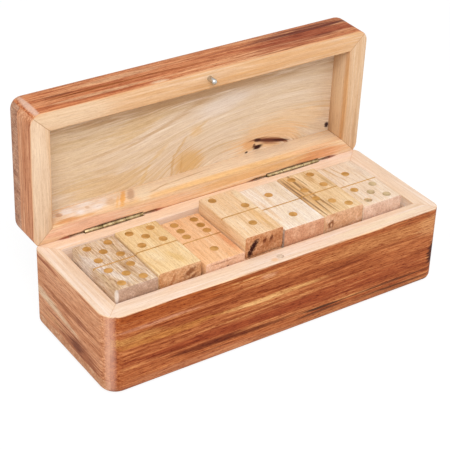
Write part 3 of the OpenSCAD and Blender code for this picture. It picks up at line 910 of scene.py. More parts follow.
# %% Sizes of the sides
UPRIGHT_SEGMENTS = 12
RIM_ARRIS = 0.55
INNER_ARRIS = 0.3
FINE_EDGE = 0.1
SKIN_DEPTH = 2.7
CORNER_ZONE = 3.5
HAIR = 0.02
SIDES = {
    "front": Vector((0, -1, 0)),
    "back": Vector((0, 1, 0)),
    "left": Vector((-1, 0, 0)),
    "right": Vector((1, 0, 0)),
}
CORNERS = [(-1, -1), (1, -1), (1, 1), (-1, 1)]
print("arrises of the rim:", RIM_ARRIS, "outside and", INNER_ARRIS, "inside")

# %% One side of a frame
def rounded_blank(name, z_low, z_high, radii):
    """A block over the whole plan, each upright corner rounded by its own radius."""
    piece = blank(name, (-HALF_L, -HALF_W, z_low), (HALF_L, HALF_W, z_high))
    for (sign_x, sign_y), radius in zip(CORNERS, radii):
        corner = Vector((sign_x * HALF_L, sign_y * HALF_W))
        round_over(
            piece,
            lambda edge: all((vertex.co.xy / MM - corner).length < TOUCH for vertex in edge.verts),
            radius, UPRIGHT_SEGMENTS,
        )
    return piece


def on_rim(edge, rim_z, way, least):
    """True for an edge at the rim's height that ends a face looking one way."""
    return at_height(edge, rim_z) and any(face.normal.dot(way) > least for face in edge.link_faces)


def frame_side(name, side, z_low, z_high, radii, rim_z):
    """One mitred side of a frame, with its stop cut and softened rim."""
    out = SIDES[side]
    across = Vector((abs(out.y), abs(out.x), 0))
    half = Vector((HALF_L, HALF_W, 0))
    reach = abs(out.dot(half))
    piece = rounded_blank(name, z_low, z_high, radii)
    saw(piece, out * (reach - WALL_T), -out)
    for sign in (-1, 1):
        corner = out * reach + across * sign * abs(across.dot(half))
        saw(piece, corner, across * sign - out)
    up_sign = 1 if rim_z == z_high else -1
    slope = Vector((0, math.sin(OPEN_ANGLE / 2), up_sign * math.cos(OPEN_ANGLE / 2)))
    saw(piece, (0, AXIS.y, rim_z), slope)
    if side != "back":
        round_over(piece, lambda edge: on_rim(edge, rim_z, out, LEANING), RIM_ARRIS, 3)
    round_over(piece, lambda edge: on_rim(edge, rim_z, -out, FACING), INNER_ARRIS, 2)
    ease_edges(piece, FINE_EDGE)
    return piece


# %% Two finishes on a side
def on_skin(face, out):
    """True on a frame's outer skin, but not in a hole or kerf that also looks outwards."""
    centre = face.center / MM
    depth = abs(out.dot(Vector((HALF_L, HALF_W, 0)))) - centre.dot(out)
    at_corner = HALF_L - abs(centre.x) < CORNER_ZONE and HALF_W - abs(centre.y) < CORNER_ZONE
    looks_out = face.normal.dot(out) > LEANING or (at_corner and abs(face.normal.z) < LEANING)
    return depth < SKIN_DEPTH and looks_out


def two_finishes(piece, bare, stained, out):
    """Bare wood all over, and stain on the outer skin."""
    piece.data.materials.append(bare)
    piece.data.materials.append(stained)
    for face in piece.data.polygons:
        face.material_index = int(on_skin(face, out))


# %% Saw the eight sides
box_radii = (SOFT_CORNER_R, CORNER_R, CORNER_R, CORNER_R)
lid_radii = (LID_ROUND,) * 4
lid_rim = RIM_Z + HAIR
box_sides = {}
lid_sides = {}
for side in SIDES:
    box_sides[side] = frame_side(f"box_{side}_wall_board", side, BOTTOM_T, RIM_Z, box_radii, RIM_Z)
    lid_sides[side] = frame_side(f"lid_{side}_rail_board", side, lid_rim, RAIL_TOP, lid_radii, lid_rim)
print("frame sides:", [len(piece.data.polygons) for piece in (*box_sides.values(), *lid_sides.values())])

# %% [markdown]
# ## Hinge cuts and catch hole
# The hinges are let into saw kerfs: a small round saw is plunged into the rim, which leaves a slot
# longer than the hinge with a curved floor, and a shallow groove takes the barrel. The saw's radius
# follows from the slot's length at the rim and the depth that the corners of a leaf need. The catch
# pin's hole is drilled in the front rim. OVER is how far a cutter reaches past the surface that it cuts.

# %% Cut the kerfs and drill the hole
KERF_L = 52.0
KERF_W = 1.6
LEAF_DEPTH = 7.0
LEAF_CORNER_GAP = 0.4
BARREL_GAP = 0.3
CATCH_INSET = 4.6
CATCH_GAP = 0.4
HOLE_SPARE = 1.0
OVER = 1.0
HINGE_SIDES = ("left", "right")
pin_boxes = {side: box_mm(f"{side}_hinge_pin") for side in HINGE_SIDES}
leaf_low, leaf_high = box_mm("left_hinge_box_leaf")
HINGE_L = pin_boxes["left"][1].x - pin_boxes["left"][0].x
PIN_D = pin_boxes["left"][1].z - pin_boxes["left"][0].z
BARREL_D = leaf_high.y - leaf_low.y
hinge_x = {side: (pin_boxes[side][0].x + pin_boxes[side][1].x) / 2 for side in HINGE_SIDES}
corner_drop = LEAF_DEPTH + LEAF_CORNER_GAP
saw_rise = ((KERF_L ** 2 - HINGE_L ** 2) / 4 - corner_drop ** 2) / (2 * corner_drop)
saw_d = 2 * math.hypot(KERF_L / 2, saw_rise)

for side in HINGE_SIDES:
    for piece, up_sign in ((box_sides["back"], 1), (lid_sides["back"], -1)):
        centre = Vector((hinge_x[side], AXIS.y, RIM_Z))
        groove = rod("groove", centre, (1, 0, 0), BARREL_D + 2 * BARREL_GAP, HINGE_L + 2 * BARREL_GAP)
        carve(piece, groove)
        saw_centre = centre + Vector((0, 0, up_sign * saw_rise))
        carve(piece, rod("disc", saw_centre, (0, 1, 0), saw_d, KERF_W, vertices=128))

pin_low, pin_high = shut_box_mm("lid_catch_pin")
CATCH_D = pin_high.x - pin_low.x
CATCH_OUT = RIM_Z - pin_low.z
hole_depth = CATCH_OUT + HOLE_SPARE
hole_centre = (0, -HALF_W + CATCH_INSET, RIM_Z - hole_depth / 2 + OVER)
hole = rod("hole", hole_centre, (0, 0, 1), CATCH_D + 2 * CATCH_GAP, hole_depth + 2 * OVER)
carve(box_sides["front"], hole)
print("kerf saw", round(saw_d, 1), "mm across")
print("hinges at", {side: round(x, 1) for side, x in hinge_x.items()})

# %% [markdown]
# ## Bottom and top boards
# The bottom board's lower edge is rounded all the way round, and so is the lid's upper edge, more
# generously. The lid's top board keeps its bare underside, which is the panel seen inside the open lid.
# At the short ends of both boards the stain lies on end grain.

# %% Bottom and top boards
END_FACING = 0.7
bottom = rounded_blank("box_bottom", 0, BOTTOM_T, box_radii)
round_over(bottom, lambda edge: at_height(edge, 0), BOTTOM_ROUND, 8)
ease_edges(bottom, FINE_EDGE)

lid_top = blank("lid_top", (-HALF_L, -HALF_W, RAIL_TOP), (HALF_L, HALF_W, LID_TOP))
round_over(
    lid_top,
    lambda edge: at_height(edge, LID_TOP) or abs(edge.verts[0].co.z - edge.verts[1].co.z) > MM,
    LID_ROUND - TOUCH, 10,
)
ease_edges(lid_top, FINE_EDGE)


def three_finishes(piece, bare, stained, ends, inward):
    """Bare on the face that looks inwards, end grain at the short ends, and stain on the rest."""
    for material in (bare, stained, ends):
        piece.data.materials.append(material)
    for face in piece.data.polygons:
        if face.normal.dot(inward) > FACING:
            face.material_index = 0
        else:
            face.material_index = 2 if abs(face.normal.x) > END_FACING else 1


three_finishes(bottom, bare_long, stained_base, base_ends, Vector((0, 0, 1)))
three_finishes(lid_top, bare_panel, stained_lid_top, stained_ends, Vector((0, 0, -1)))
print("boards:", round(BOTTOM_T, 2), "and", round(LID_TOP - RAIL_TOP, 2), "mm thick")

# %% Stain the frame sides, open the lid and seat the boards
box_finishes = {
    "front": (bare_long, stained_front), "back": (bare_long, stained_back),
    "left": (bare_short, stained_left), "right": (bare_short, stained_right),
}
lid_finishes = {
    "front": (bare_lid_front, stained_lid_front), "back": (bare_lid_back, stained_lid_back),
    "left": (bare_lid_side, stained_lid_side), "right": (bare_lid_side, stained_lid_side),
}
for side, out in SIDES.items():
    for pieces, finishes in ((box_sides, box_finishes), (lid_sides, lid_finishes)):
        two_finishes(pieces[side], *finishes[side], out)

for piece in (*lid_sides.values(), lid_top):
    swing_open(piece)
for piece in (*box_sides.values(), *lid_sides.values(), bottom, lid_top):
    smooth(piece)
for side in SIDES:
    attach(box_sides[side], "box")
    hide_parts(f"box_{side}_wall")
    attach(lid_sides[side], "lid")
    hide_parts(f"lid_{side}_rail")
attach(bottom, "box")
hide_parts("box_bottom_board")
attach(lid_top, "lid")
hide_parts("lid_top_board")
print("lid top spans z", [round(corner[2] / MM, 1) for corner in lid_top.bound_box[:2]])

# %% [markdown]
# ## Brass and steel
# The hinges are plain brass, rolled from sheet and gone dull in store, so they are not bright: a brown
# bloom lies over the yellow metal. The pips and strips of the dominoes are brass rod and wire, sanded
# flush with the wood, which leaves them matt. The catch pin is bright steel wire.

# %% Metal finishes
BLOOM_SPAN = (0.35, 0.62)
SCRATCH_ROUGHNESS = (-0.1, 0.15)
METAL_RELIEF = (0.15, 0.05)


def metal(name, light, dark, roughness, cloud_mm, scratch_mm):
    """Sheet or rod metal with a cloudy bloom and fine scratches."""
    material, tree = new_material(name)
    place = shut_place(tree, False)
    bloom = {"Vector": place, "Scale": 1 / cloud_mm, "Detail": 3.0}
    cloud = add(tree, "ShaderNodeTexNoise", bloom).outputs["Fac"]
    scratching = {"Vector": place, "Scale": 1 / scratch_mm, "Detail": 2.0, "Roughness": 0.8}
    scratch = add(tree, "ShaderNodeTexNoise", scratching).outputs["Fac"]
    tones = list(zip(BLOOM_SPAN, (dark, light)))
    tint = add(tree, "ShaderNodeValToRGB", {"Fac": cloud}, stops=tones).outputs["Color"]
    shader = dress(tree, tint, scratch, METAL_RELIEF, {"Metallic": 1.0})
    worn = span(scratch, (0.0, 1.0), [roughness + change for change in SCRATCH_ROUGHNESS])
    rough = add(tree, "ShaderNodeMapRange", worn).outputs["Result"]
    tree.links.new(rough, shader.inputs["Roughness"])
    return material


hinge_brass = metal("dull_brass_hinge", "#cbb891", "#85734e", 0.45, 3.0, 0.4)
inlay_brass = metal("sanded_brass_inlay", "#e0b472", "#c89b58", 0.6, 4.0, 0.5)
weathered_brass = metal("weathered_brass_inlay", "#d8c19a", "#b79d76", 0.55, 2.0, 0.5)
catch_steel = metal("bright_steel", "#c9c9c6", "#a3a19b", 0.22, 5.0, 0.5)
print("metals:", [made.name for made in (hinge_brass, inlay_brass, weathered_brass, catch_steel)])

# %% [markdown]
# ## Hinges
# Each hinge has two leaves of thin sheet and a pin. One leaf carries the middle knuckle and the other
# the two end ones. A knuckle starts as a rod, its ends are inset to the pin's size and eased, and a thin
# neck joins it to its leaf, which lies hidden in the kerf. Everything is built shut, as the cuts were,
# and the lid's leaf then swings.

# %% Build the hinges
KNUCKLE_GAP = 0.2
KNUCKLE_EASE = 0.18
MIDDLE_L = 13.4
LEAF_T = 0.7
NECK_INSET = 0.1
NECK_LAP = 0.5
PIN_EASE = 0.2


def is_end(face):
    """True for the flat end of a bar that lies along x."""
    return abs(face.normal.x) > FACING


def knuckle(name, x, length):
    """A rolled length of barrel: its ends are eased, and stepped back round the pin."""
    piece = rod(name, (x, AXIS.y, RIM_Z), (1, 0, 0), BARREL_D, length)
    with editing(piece):
        pick(piece, "FACE", is_end)
        bpy.ops.mesh.inset(thickness=(BARREL_D - PIN_D) / 2 * MM, use_individual=True)
    round_over(
        piece, lambda edge: {is_end(face) for face in edge.link_faces} == {True, False}, KNUCKLE_EASE, 2
    )
    return piece


def join(pieces, name):
    """Joins pieces into the first of them."""
    bpy.ops.object.select_all(action="DESELECT")
    for piece in pieces:
        piece.select_set(True)
    bpy.context.view_layer.objects.active = pieces[0]
    bpy.ops.object.join()
    pieces[0].name = pieces[0].data.name = name
    return pieces[0]


def sheet(name, x, half_length, half_thickness, direction, start, end):
    """Flat sheet from one distance from the axis to another, up or down from the joint line."""
    low, high = sorted((RIM_Z + direction * start, RIM_Z + direction * end))
    return blank(
        name,
        (x - half_length, AXIS.y - half_thickness, low),
        (x + half_length, AXIS.y + half_thickness, high),
    )


def hinge_leaf(name, x, direction, has_middle):
    """A leaf and its knuckles. direction is 1 for the lid's leaf and -1 for the box's."""
    end_l = (HINGE_L - MIDDLE_L) / 2 - KNUCKLE_GAP
    end_x = (HINGE_L - end_l) / 2
    places = [(x, MIDDLE_L)] if has_middle else [(x - end_x, end_l), (x + end_x, end_l)]
    plate_start = BARREL_D / 2 + BARREL_GAP
    parts = [sheet(name, x, HINGE_L / 2, LEAF_T / 2, direction, plate_start, LEAF_DEPTH)]
    for place, length in places:
        parts.append(knuckle(name + "_knuckle", place, length))
        parts.append(sheet(
            name + "_neck", place, length / 2 - NECK_INSET, LEAF_T / 2 - HAIR, direction, BARREL_D / 3,
            plate_start + NECK_LAP,
        ))
    return join(parts, name)


for side in HINGE_SIDES:
    box_leaf = hinge_leaf(f"{side}_hinge_lower", hinge_x[side], -1, side == "left")
    lid_leaf = hinge_leaf(f"{side}_hinge_upper", hinge_x[side], 1, side == "right")
    pin = rod(f"{side}_hinge_wire", (hinge_x[side], AXIS.y, RIM_Z), (1, 0, 0), PIN_D, HINGE_L, vertices=24)
    round_over(pin, lambda edge: any(is_end(face) for face in edge.link_faces), PIN_EASE, 2)
    swing_open(lid_leaf)
    for piece, body, node, finish in (
        (box_leaf, "box", f"{side}_hinge_box_leaf", hinge_brass),
        (lid_leaf, "lid", f"{side}_hinge_lid_leaf", hinge_brass),
        (pin, "box", f"{side}_hinge_pin", catch_steel),
    ):
        piece.data.materials.append(finish)
        smooth(piece)
        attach(piece, body)
        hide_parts(node)
print("hinges:", HINGE_L, "mm long, barrel", round(BARREL_D, 2), "across, pin", round(PIN_D, 2))

# %% [markdown]
# ## Brads and catch pin
# Four brads a side hold the leaves from behind. A brad is a head that is rounded over, with a shank
# extruded from its underside: it is modelled once and copied. The catch pin is a length of steel wire
# with a domed tip, driven into the lid's front rail.

# %% Brads
BRAD_HEAD_D = 2.4
BRAD_HEAD_T = 0.4
BRAD_D = 1.2
BRAD_L = 6.5
BRAD_EASE = 0.3
BRAD_DROP = 4.7
BRAD_PITCH = 20.0


def brad(name):
    """One brad, its head's underside on the origin and its shank towards -Y."""
    piece = rod(name, (0, BRAD_HEAD_T / 2, 0), (0, 1, 0), BRAD_HEAD_D, BRAD_HEAD_T, vertices=24)
    top = BRAD_HEAD_T - TOUCH
    round_over(piece, lambda edge: all(vertex.co.y / MM > top for vertex in edge.verts), BRAD_EASE, 3)
    with editing(piece):
        pick(piece, "FACE", lambda face: face.normal.y < -FACING)
        bpy.ops.mesh.inset(thickness=(BRAD_HEAD_D - BRAD_D) / 2 * MM)
        bpy.ops.mesh.extrude_region_move(TRANSFORM_OT_translate={"value": (0, -BRAD_L * MM, 0)})
    return piece


def copy_of(piece, name, offset):
    """A copy with its own mesh, moved by an offset that goes into its mesh."""
    twin = piece.copy()
    twin.data = piece.data.copy()
    twin.name = twin.data.name = name
    bpy.context.scene.collection.objects.link(twin)
    twin.data.transform(Matrix.Translation(Vector(offset) * MM))
    return twin


pattern_brad = brad("pattern_brad")
for body, drop in (("box", -BRAD_DROP), ("lid", BRAD_DROP)):
    brads = [
        copy_of(pattern_brad, f"{body}_brad", (hinge_x[side] + shift, HALF_W, RIM_Z + drop))
        for side in HINGE_SIDES for shift in (-BRAD_PITCH / 2, BRAD_PITCH / 2)
    ]
    group = join(brads, f"{body}_brads")
    if body == "lid":
        swing_open(group)
    group.data.materials.append(hinge_brass)
    smooth(group)
    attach(group, body)
    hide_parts(f"{body}_hinge_brads")
bpy.data.objects.remove(pattern_brad)
print("brads:", BRAD_HEAD_D, "mm heads on shanks of", BRAD_L)

# %% Catch pin
DOME = 0.46
catch_centre = (0, -HALF_W + CATCH_INSET, (pin_low.z + pin_high.z) / 2)
catch = rod("catch_pin", catch_centre, (0, 0, 1), CATCH_D, pin_high.z - pin_low.z, vertices=40)
round_over(catch, lambda edge: at_height(edge, pin_low.z), CATCH_D * DOME, 8)
swing_open(catch)
catch.data.materials.append(catch_steel)
smooth(catch)
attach(catch, "lid")
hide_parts("lid_catch_pin")
print("catch pin:", round(CATCH_D, 2), "mm across, stands out", round(CATCH_OUT, 2))

# %% [markdown]
# ## The set of dominoes
# The twenty-eight dominoes lie in four layers of seven. They are sawn from odd offcuts, so each stack
# has its own colour: one is grey with fine slanting lines, others are yellow, orange or almost white,
# and one has brown streaks down its side. The grain runs along the domino, so its front end shows end
# grain. We give each stack of the case its own pair of finishes.

# %% Places of the stacks
TOP_TILES = (
    "domino_5_5", "domino_5_0", "domino_6_1", "domino_2_1", "domino_1_1", "domino_4_3", "domino_5_1",
)
top_boxes = [box_mm(node) for node in TOP_TILES]
STACK_X = [(low.x + high.x) / 2 for low, high in top_boxes]
TOP_Z = [high.z for low, high in top_boxes]
TILE_FRONT = top_boxes[0][0].y
THROUGH = 60


def on_tile(stack, x, y, half_width, half_length, hex_value, strength, tilt=0.0):
    """A mark down a whole stack, placed from the middle of its top tile. A positive tilt turns it left."""
    middle_y = sum(corner.y for corner in top_boxes[stack]) / 2
    place = (STACK_X[stack] + x, middle_y + y, TOP_Z[stack])
    return (place, (half_width, half_length, THROUGH), hex_value, strength, (0, 0, tilt))


def on_end(stack, x, depth, half_width, half_height, hex_value, strength, tilt=0.0):
    """A mark on the front end of a stack's top tile, placed by its depth below the face."""
    place = (STACK_X[stack] + x, TILE_FRONT, TOP_Z[stack] - depth)
    return (place, (half_width, 3, half_height), hex_value, strength, (0, tilt, 0))


print("stacks at x", [round(x, 1) for x in STACK_X])

# %% Tones of the stacks
TILE_TONES = [
    [(0.0, "#bf9c74"), (0.35, "#dbbb98"), (0.7, "#e4ccb1"), (1.0, "#f0e0d2")],
    [(0.0, "#e2b87c"), (0.35, "#edca96"), (0.7, "#f1d3a3"), (1.0, "#f6dfb8")],
    [(0.0, "#e6ae7a"), (0.35, "#f0be8f"), (0.7, "#f4c79b"), (1.0, "#f7d1aa")],
    [(0.0, "#deb582"), (0.35, "#edc89c"), (0.7, "#f1d2ac"), (1.0, "#f7debe")],
    [(0.0, "#ead3b2"), (0.35, "#f2dec6"), (0.7, "#f6e6d4"), (1.0, "#fbf0e4")],
    [(0.0, "#dcb583"), (0.35, "#e9c697"), (0.7, "#efd0a6"), (1.0, "#f5dcb8")],
    [(0.0, "#e2c39c"), (0.35, "#eed4b8"), (0.7, "#f3dfca"), (1.0, "#f9ebdc")],
]
END_TONES = [
    [(0.0, "#a08069"), (0.5, "#b6927b"), (1.0, "#cbab96")],
    [(0.0, "#b57a4c"), (0.5, "#cd976c"), (1.0, "#e0b288")],
    [(0.0, "#d09c7a"), (0.5, "#e0b090"), (1.0, "#efc4a6")],
    [(0.0, "#a9683f"), (0.5, "#c4875c"), (1.0, "#d7a27a")],
    [(0.0, "#bb7f5e"), (0.5, "#d09876"), (1.0, "#dfb090")],
    [(0.0, "#c08a62"), (0.5, "#d4a37e"), (1.0, "#e2b898")],
    [(0.0, "#c8a08a"), (0.5, "#dab49c"), (1.0, "#e8c8b4")],
]

# %% Marks of the stacks
TILE_MARKS = {
    0: [
        on_tile(0, -9, 2, 3, 15, "#ece0d8", 0.6, 14),
        on_tile(0, -4, -12, 2.4, 8, "#eadccf", 0.6, 14),
        on_tile(0, 2, -3, 1.6, 9, "#b88f5c", 0.5, 14),
    ],
    1: [on_tile(1, 3, -12, 3, 9, "#e3ba76", 0.6, 20), on_tile(1, -6, -6, 3, 7, "#f7e3be", 0.5, 20)],
    2: [on_tile(2, 9.5, -10, 2, 12, "#e39a6a", 0.6)],
    3: [on_tile(3, 9, 8, 3, 14, "#f6e2c0", 0.7), on_tile(3, 6, -6, 2.4, 12, "#e6b472", 0.5)],
    4: [
        on_tile(4, -8, -2, 1.4, 16, "#e4b983", 0.5),
        on_tile(4, -3, 8, 0.9, 12, "#e2bb8a", 0.5),
        # Painted shade: a narrow dark mark down the front left edge of the whole stack, where the gap to the
        # next stack is in shade.
        on_tile(4, -12.6, -21.5, 0.7, 2.4, "#8a5c46", 0.7),
    ],
    5: [
        on_tile(5, -7.5, 2, 6, 26, "#dcae74", 0.75),
        on_tile(5, -11.2, 0, 0.8, 26, "#8a6244", 0.85, 0.6),
        on_tile(5, -9.2, 8, 0.7, 14, "#9a7148", 0.7, 2),
        on_tile(5, -7.4, -8, 0.7, 12, "#8f6842", 0.8, -2),
        on_tile(5, -6.0, 13, 1.0, 11, "#8a633e", 0.75, -3),
        on_tile(5, -4.6, -4, 0.8, 16, "#94693f", 0.75, 2),
        on_tile(5, -2.2, 14, 0.7, 10, "#a47b50", 0.7, 4),
        on_tile(5, -2.4, -14, 0.5, 8, "#a87f55", 0.6, 3),
        on_tile(5, 3, 14, 2.2, 6, "#c9985c", 0.6),
        on_tile(5, 9.4, 8, 1.4, 10, "#b08448", 0.5),
    ],
    6: [on_tile(6, -6, 14, 0.8, 12, "#d3a468", 0.6, 12), on_tile(6, -2, 12, 0.7, 12, "#d6aa70", 0.6, 12)],
}
END_MARKS = {
    1: [
        on_end(1, 5, 4, 5, 2.2, "#7f4522", 0.85, -30),
        on_end(1, 7.5, 7, 3, 1.2, "#8a4a24", 0.8, -30),
        on_end(1, -4, 5, 4, 1.2, "#a8683c", 0.7, -60),
    ],
    2: [on_end(2, -2, 1.3, 9, 0.5, "#9a6248", 0.6), on_end(2, 1, 4.5, 0.8, 0.8, "#7d5a48", 0.8)],
    3: [
        on_end(3, -6.6, 6.0, 2.2, 6.0, "#35100a", 1.0, 32),
        on_end(3, -8.6, 9.5, 1.8, 3.0, "#35100a", 0.9),
        on_end(3, 0, 4.5, 1.2, 2.4, "#6b2c14", 0.9, 20),
        on_end(3, 4, 4.6, 1.3, 2.6, "#5f2410", 0.9, 20),
        on_end(3, 2, 7, 8, 2.4, "#a5633c", 0.6, -10),
    ],
    5: [on_end(5, -8.4, 6, 2.4, 3.0, "#7d4626", 0.9), on_end(5, -8.2, 6.4, 0.8, 1.2, "#e0b28c", 0.9)],
}
print("marks on tiles:", sum(len(marks) for marks in (*TILE_MARKS.values(), *END_MARKS.values())))

# %% A pair of finishes for each stack
EDGE_WORN = [((STACK_X[0] - 11.2, TILE_FRONT + 0.4, TOP_Z[0] - 3.6), (1.5, 1.5, 4.6), "#f3e8dd", 0.65)]
TILE_WOOD = {**DRY_WOOD, "Roughness": 0.55}
COARSE = dict(line=(0.55, 7), line_depth=0.34, pore=(0.4, 2.2), pore_depth=0.3, wander=4.0)
PLAIN = dict(line=(0.5, 9), line_depth=0.14, pore=(0.4, 1.6), pore_depth=0.2, wander=2.0, grit=0.05)
tile_finishes = []
for stack, (tones, end_tones) in enumerate(zip(TILE_TONES, END_TONES)):
    look, worn = (COARSE, EDGE_WORN) if stack == 0 else (PLAIN, ())
    face = figured_wood(
        f"bare_tile_{stack + 1}", tones, grain="y", band=(5, 50), streak=(1.2, 26),
        marks=TILE_MARKS.get(stack, ()), worn=worn, uniform=TILE_WOOD, offset=100 + 13 * stack, **look,
    )
    end = end_grain(
        f"tile_end_grain_{stack + 1}", end_tones,
        marks=END_MARKS.get(stack, ()), worn=worn, offset=17 * stack,
    )
    tile_finishes.append((face, end))
print("tile finishes:", len(tile_finishes), "pairs")

# %% [markdown]
# ## A domino
# A domino is a sawn block with every edge rounded a little. The pips are drilled, filled with brass rod
# and sanded flush, and a strip of brass lies in a saw cut right across the middle. So the tile is one
# piece with pockets, and its inlays are another, a hair lower than the wood, which draws a fine line
# round each pip. The drilled places are never quite true, so each one is off by a tenth or two of a
# millimetre. On one domino the brass has gone pale and grey at the front, and one of its pips sits
# deeper than the rest.

# %% Sizes of a domino
TILE_ROUND = 0.9
PIP_D = 4.4
PIP_PITCH = 12.0
PIP_SIDES = 32
QUARTER = 11.0
INLAY_T = 1.0
INLAY_SINK = 0.04
POCKET_GAP = 0.05
STRIP_W = 0.8
DRILL_ERROR = 0.18
FRONT_FACING = 0.6
FRONT_DEPTH = 2.0
WEATHERED_TILE = "domino_5_1"
SUNK_PIP = 3
SUNK_BY = 0.55
LAYERS = [
    [(0, 0), (6, 6), (3, 2), (4, 0), (6, 5), (2, 2), (3, 1)],
    [(5, 3), (4, 1), (0, 2), (6, 3), (3, 3), (5, 4), (0, 1)],
    [(6, 0), (2, 5), (4, 4), (3, 0), (2, 6), (4, 2), (6, 4)],
    [(5, 5), (5, 0), (6, 1), (2, 1), (1, 1), (4, 3), (1, 5)],
]
OUTER = [(-1, 1), (1, -1), (-1, -1), (1, 1)]
PIPS = [[], [(0, 0)], OUTER[:2], OUTER[:2] + [(0, 0)], OUTER, OUTER + [(0, 0)], OUTER + [(-1, 0), (1, 0)]]
print("pips in the set:", sum(sum(values) for layer in LAYERS for values in layer))

# %% Pockets and inlays
def pip_places(values, low, high, rng):
    """Centres of the pips of the rear and the front half, each a little off its true place."""
    middle = (low + high) / 2
    quarter = (high.y - low.y) / 4
    places = []
    for half, value in zip((1, -1), values):
        for x, y in PIPS[value]:
            off_x, off_y = (rng.uniform(-DRILL_ERROR, DRILL_ERROR) for axis in "xy")
            places.append((
                middle.x + x * PIP_PITCH / 2 + off_x,
                middle.y + half * quarter + y * PIP_PITCH / 2 + off_y,
            ))
    return places


def pockets(low, high, places):
    """Cutter for the pips' holes and for the saw cut, which runs out at both sides."""
    depth = INLAY_T + POCKET_GAP
    drill_d = PIP_D + 2 * POCKET_GAP
    drill_z = high.z + (OVER - depth) / 2
    middle_y = (low.y + high.y) / 2
    wide = STRIP_W / 2 + POCKET_GAP
    parts = [rod("pocket", (x, y, drill_z), (0, 0, 1), drill_d, depth + OVER, PIP_SIDES) for x, y in places]
    parts.append(blank(
        "saw_cut",
        (low.x - OVER, middle_y - wide, high.z - depth),
        (high.x + OVER, middle_y + wide, high.z + OVER),
    ))
    return join(parts, "pockets")


def inlays(name, low, high, places, sinks):
    """Brass discs and a strip, the strip's ends rounded like the tile's edges."""
    top = high.z - INLAY_SINK
    middle_y = (low.y + high.y) / 2
    parts = []
    for (x, y), sink in zip(places, sinks):
        thick = INLAY_T - INLAY_SINK - sink
        parts.append(rod(name, (x, y, top - sink - thick / 2), (0, 0, 1), PIP_D, thick, PIP_SIDES))
    front, rear = middle_y - STRIP_W / 2, middle_y + STRIP_W / 2
    strip = blank(name, (low.x, front, high.z - INLAY_T), (high.x, rear, top))
    round_over(
        strip,
        lambda edge: at_height(edge, top) and abs(edge.verts[0].co.x - edge.verts[1].co.x) < TOUCH * MM,
        TILE_ROUND, 3,
    )
    parts.append(strip)
    return join(parts, name)


def is_weathered(node, face, middle):
    """True for the pips that have gone grey: the front half's, except the one at its rear left."""
    centre = face.center / MM
    in_front = centre.y < middle.y - STRIP_W
    rear_left = centre.x < middle.x - PIP_PITCH / 4 and centre.y > middle.y - QUARTER
    return node == WEATHERED_TILE and in_front and not rear_left


# %% One domino
def domino(node, values, finishes, rng):
    """One domino: its tile with pockets, and its brass."""
    low, high = box_mm(node)
    middle = (low + high) / 2
    tile = blank(f"{node}_tile", low + Vector((0, 0, HAIR)), high)
    round_over(tile, lambda edge: True, TILE_ROUND, 3)
    places = pip_places(values, low, high, rng)
    carve(tile, pockets(low, high, places))
    for material in finishes:
        tile.data.materials.append(material)
    for face in tile.data.polygons:
        in_pocket = face.center.y > (low.y + FRONT_DEPTH) * MM
        face.material_index = int(face.normal.y < -FRONT_FACING and not in_pocket)
    sinks = [SUNK_BY if (node, i) == (WEATHERED_TILE, SUNK_PIP) else 0 for i in range(len(places))]
    brass = inlays(f"{node}_brass", low, high, places, sinks)
    brass.data.materials.append(inlay_brass)
    brass.data.materials.append(weathered_brass)
    for face in brass.data.polygons:
        face.material_index = int(is_weathered(node, face, middle))
    for piece, slot in ((tile, "tile_wood"), (brass, "brass")):
        smooth(piece)
        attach(piece, node)
        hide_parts(node)


# %% The whole set
rng = random.Random(28)
for layer in LAYERS:
    for stack, values in enumerate(layer):
        domino(f"domino_{max(values)}_{min(values)}", values, tile_finishes[stack], rng)
print("dominoes:", sum(len(layer) for layer in LAYERS))

# %% [markdown]
# ## Floor and light
# The photograph has a plain white ground. The floor is white to the camera and keeps a faint shadow, and
# the world is white wherever the camera or a reflection looks. The light on the object is plain: an even
# world and two large soft lamps, the stronger one high at the front left.

# %% What the camera and reflections see
def shown_white(tree):
    """1 for what the camera, a reflection or a refraction sees, and 0 for the light on the object."""
    path = add(tree, "ShaderNodeLightPath").outputs
    seen = path["Is Camera Ray"]
    for ray in ("Is Glossy Ray", "Is Transmission Ray"):
        seen = add(tree, "ShaderNodeMath", {0: seen, 1: path[ray]}, operation="MAXIMUM").outputs[0]
    return seen


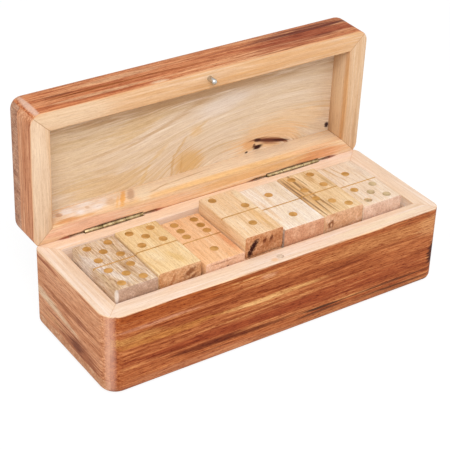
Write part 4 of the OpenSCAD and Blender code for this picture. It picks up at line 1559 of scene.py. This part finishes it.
# %% Floor
FLOOR_SIZE = 6000
SHADOW_KEPT = 0.16
GROUND_GLOW = 1.06
bpy.ops.object.select_all(action="DESELECT")
bpy.ops.mesh.primitive_plane_add(size=FLOOR_SIZE * MM, location=(0, 0, 0))
floor = bpy.context.object
floor.name = floor.data.name = "floor"
with editing(floor):
    bpy.ops.mesh.select_all(action="SELECT")
    bpy.ops.mesh.subdivide(number_cuts=3)
white_floor, tree = new_material("white_ground")
tree.nodes.remove(tree.nodes["Principled BSDF"])
seen = shown_white(tree)
glow = add(tree, "ShaderNodeMath", {0: seen, 1: 1 - SHADOW_KEPT}, operation="MULTIPLY").outputs[0]
lit = add(tree, "ShaderNodeBsdfDiffuse", {"Color": colour("#fafafa")}).outputs["BSDF"]
shining = add(tree, "ShaderNodeEmission", {"Color": colour("#ffffff"), "Strength": GROUND_GLOW})
both = add(tree, "ShaderNodeMixShader", {0: glow, 1: lit, 2: shining.outputs["Emission"]}).outputs["Shader"]
tree.links.new(both, tree.nodes["Material Output"].inputs["Surface"])
floor.data.materials.append(white_floor)
print("floor", FLOOR_SIZE / 1000, "m across")

# %% World and lamps
WORLD_LEVEL = 0.5
AIM = (0, 0, 50)
world = bpy.data.worlds.new("studio")
bpy.context.scene.world = world
world.use_nodes = True
tree = world.node_tree
level_of_light = add(tree, "ShaderNodeMapRange", span(shown_white(tree), (0.0, 1.0), (WORLD_LEVEL, 1.0)))
tree.links.new(level_of_light.outputs["Result"], tree.nodes["Background"].inputs["Strength"])
tree.nodes["Background"].inputs["Color"].default_value = colour("#ffffff")


def lamp(name, place, size, power):
    """A square soft lamp at a place in millimetres, turned to the case."""
    bpy.ops.object.light_add(type="AREA", location=Vector(place) * MM)
    made = bpy.context.object
    made.name = name
    made.data.size = size * MM
    made.data.energy = power
    made.rotation_euler = (Vector(place) - Vector(AIM)).to_track_quat("Z", "Y").to_euler()


lamp("key", (-450, -650, 950), size=600, power=9.5)
lamp("fill", (700, -500, 500), size=800, power=2.0)

# %% [markdown]
# ## Finish
# The dressed case has to stay inside the imported model's box. The view shows colours as they are
# written, and the scene is brought up to date.

# %% Set the view
bpy.context.scene.view_settings.view_transform = "Standard"
bpy.context.view_layer.update()
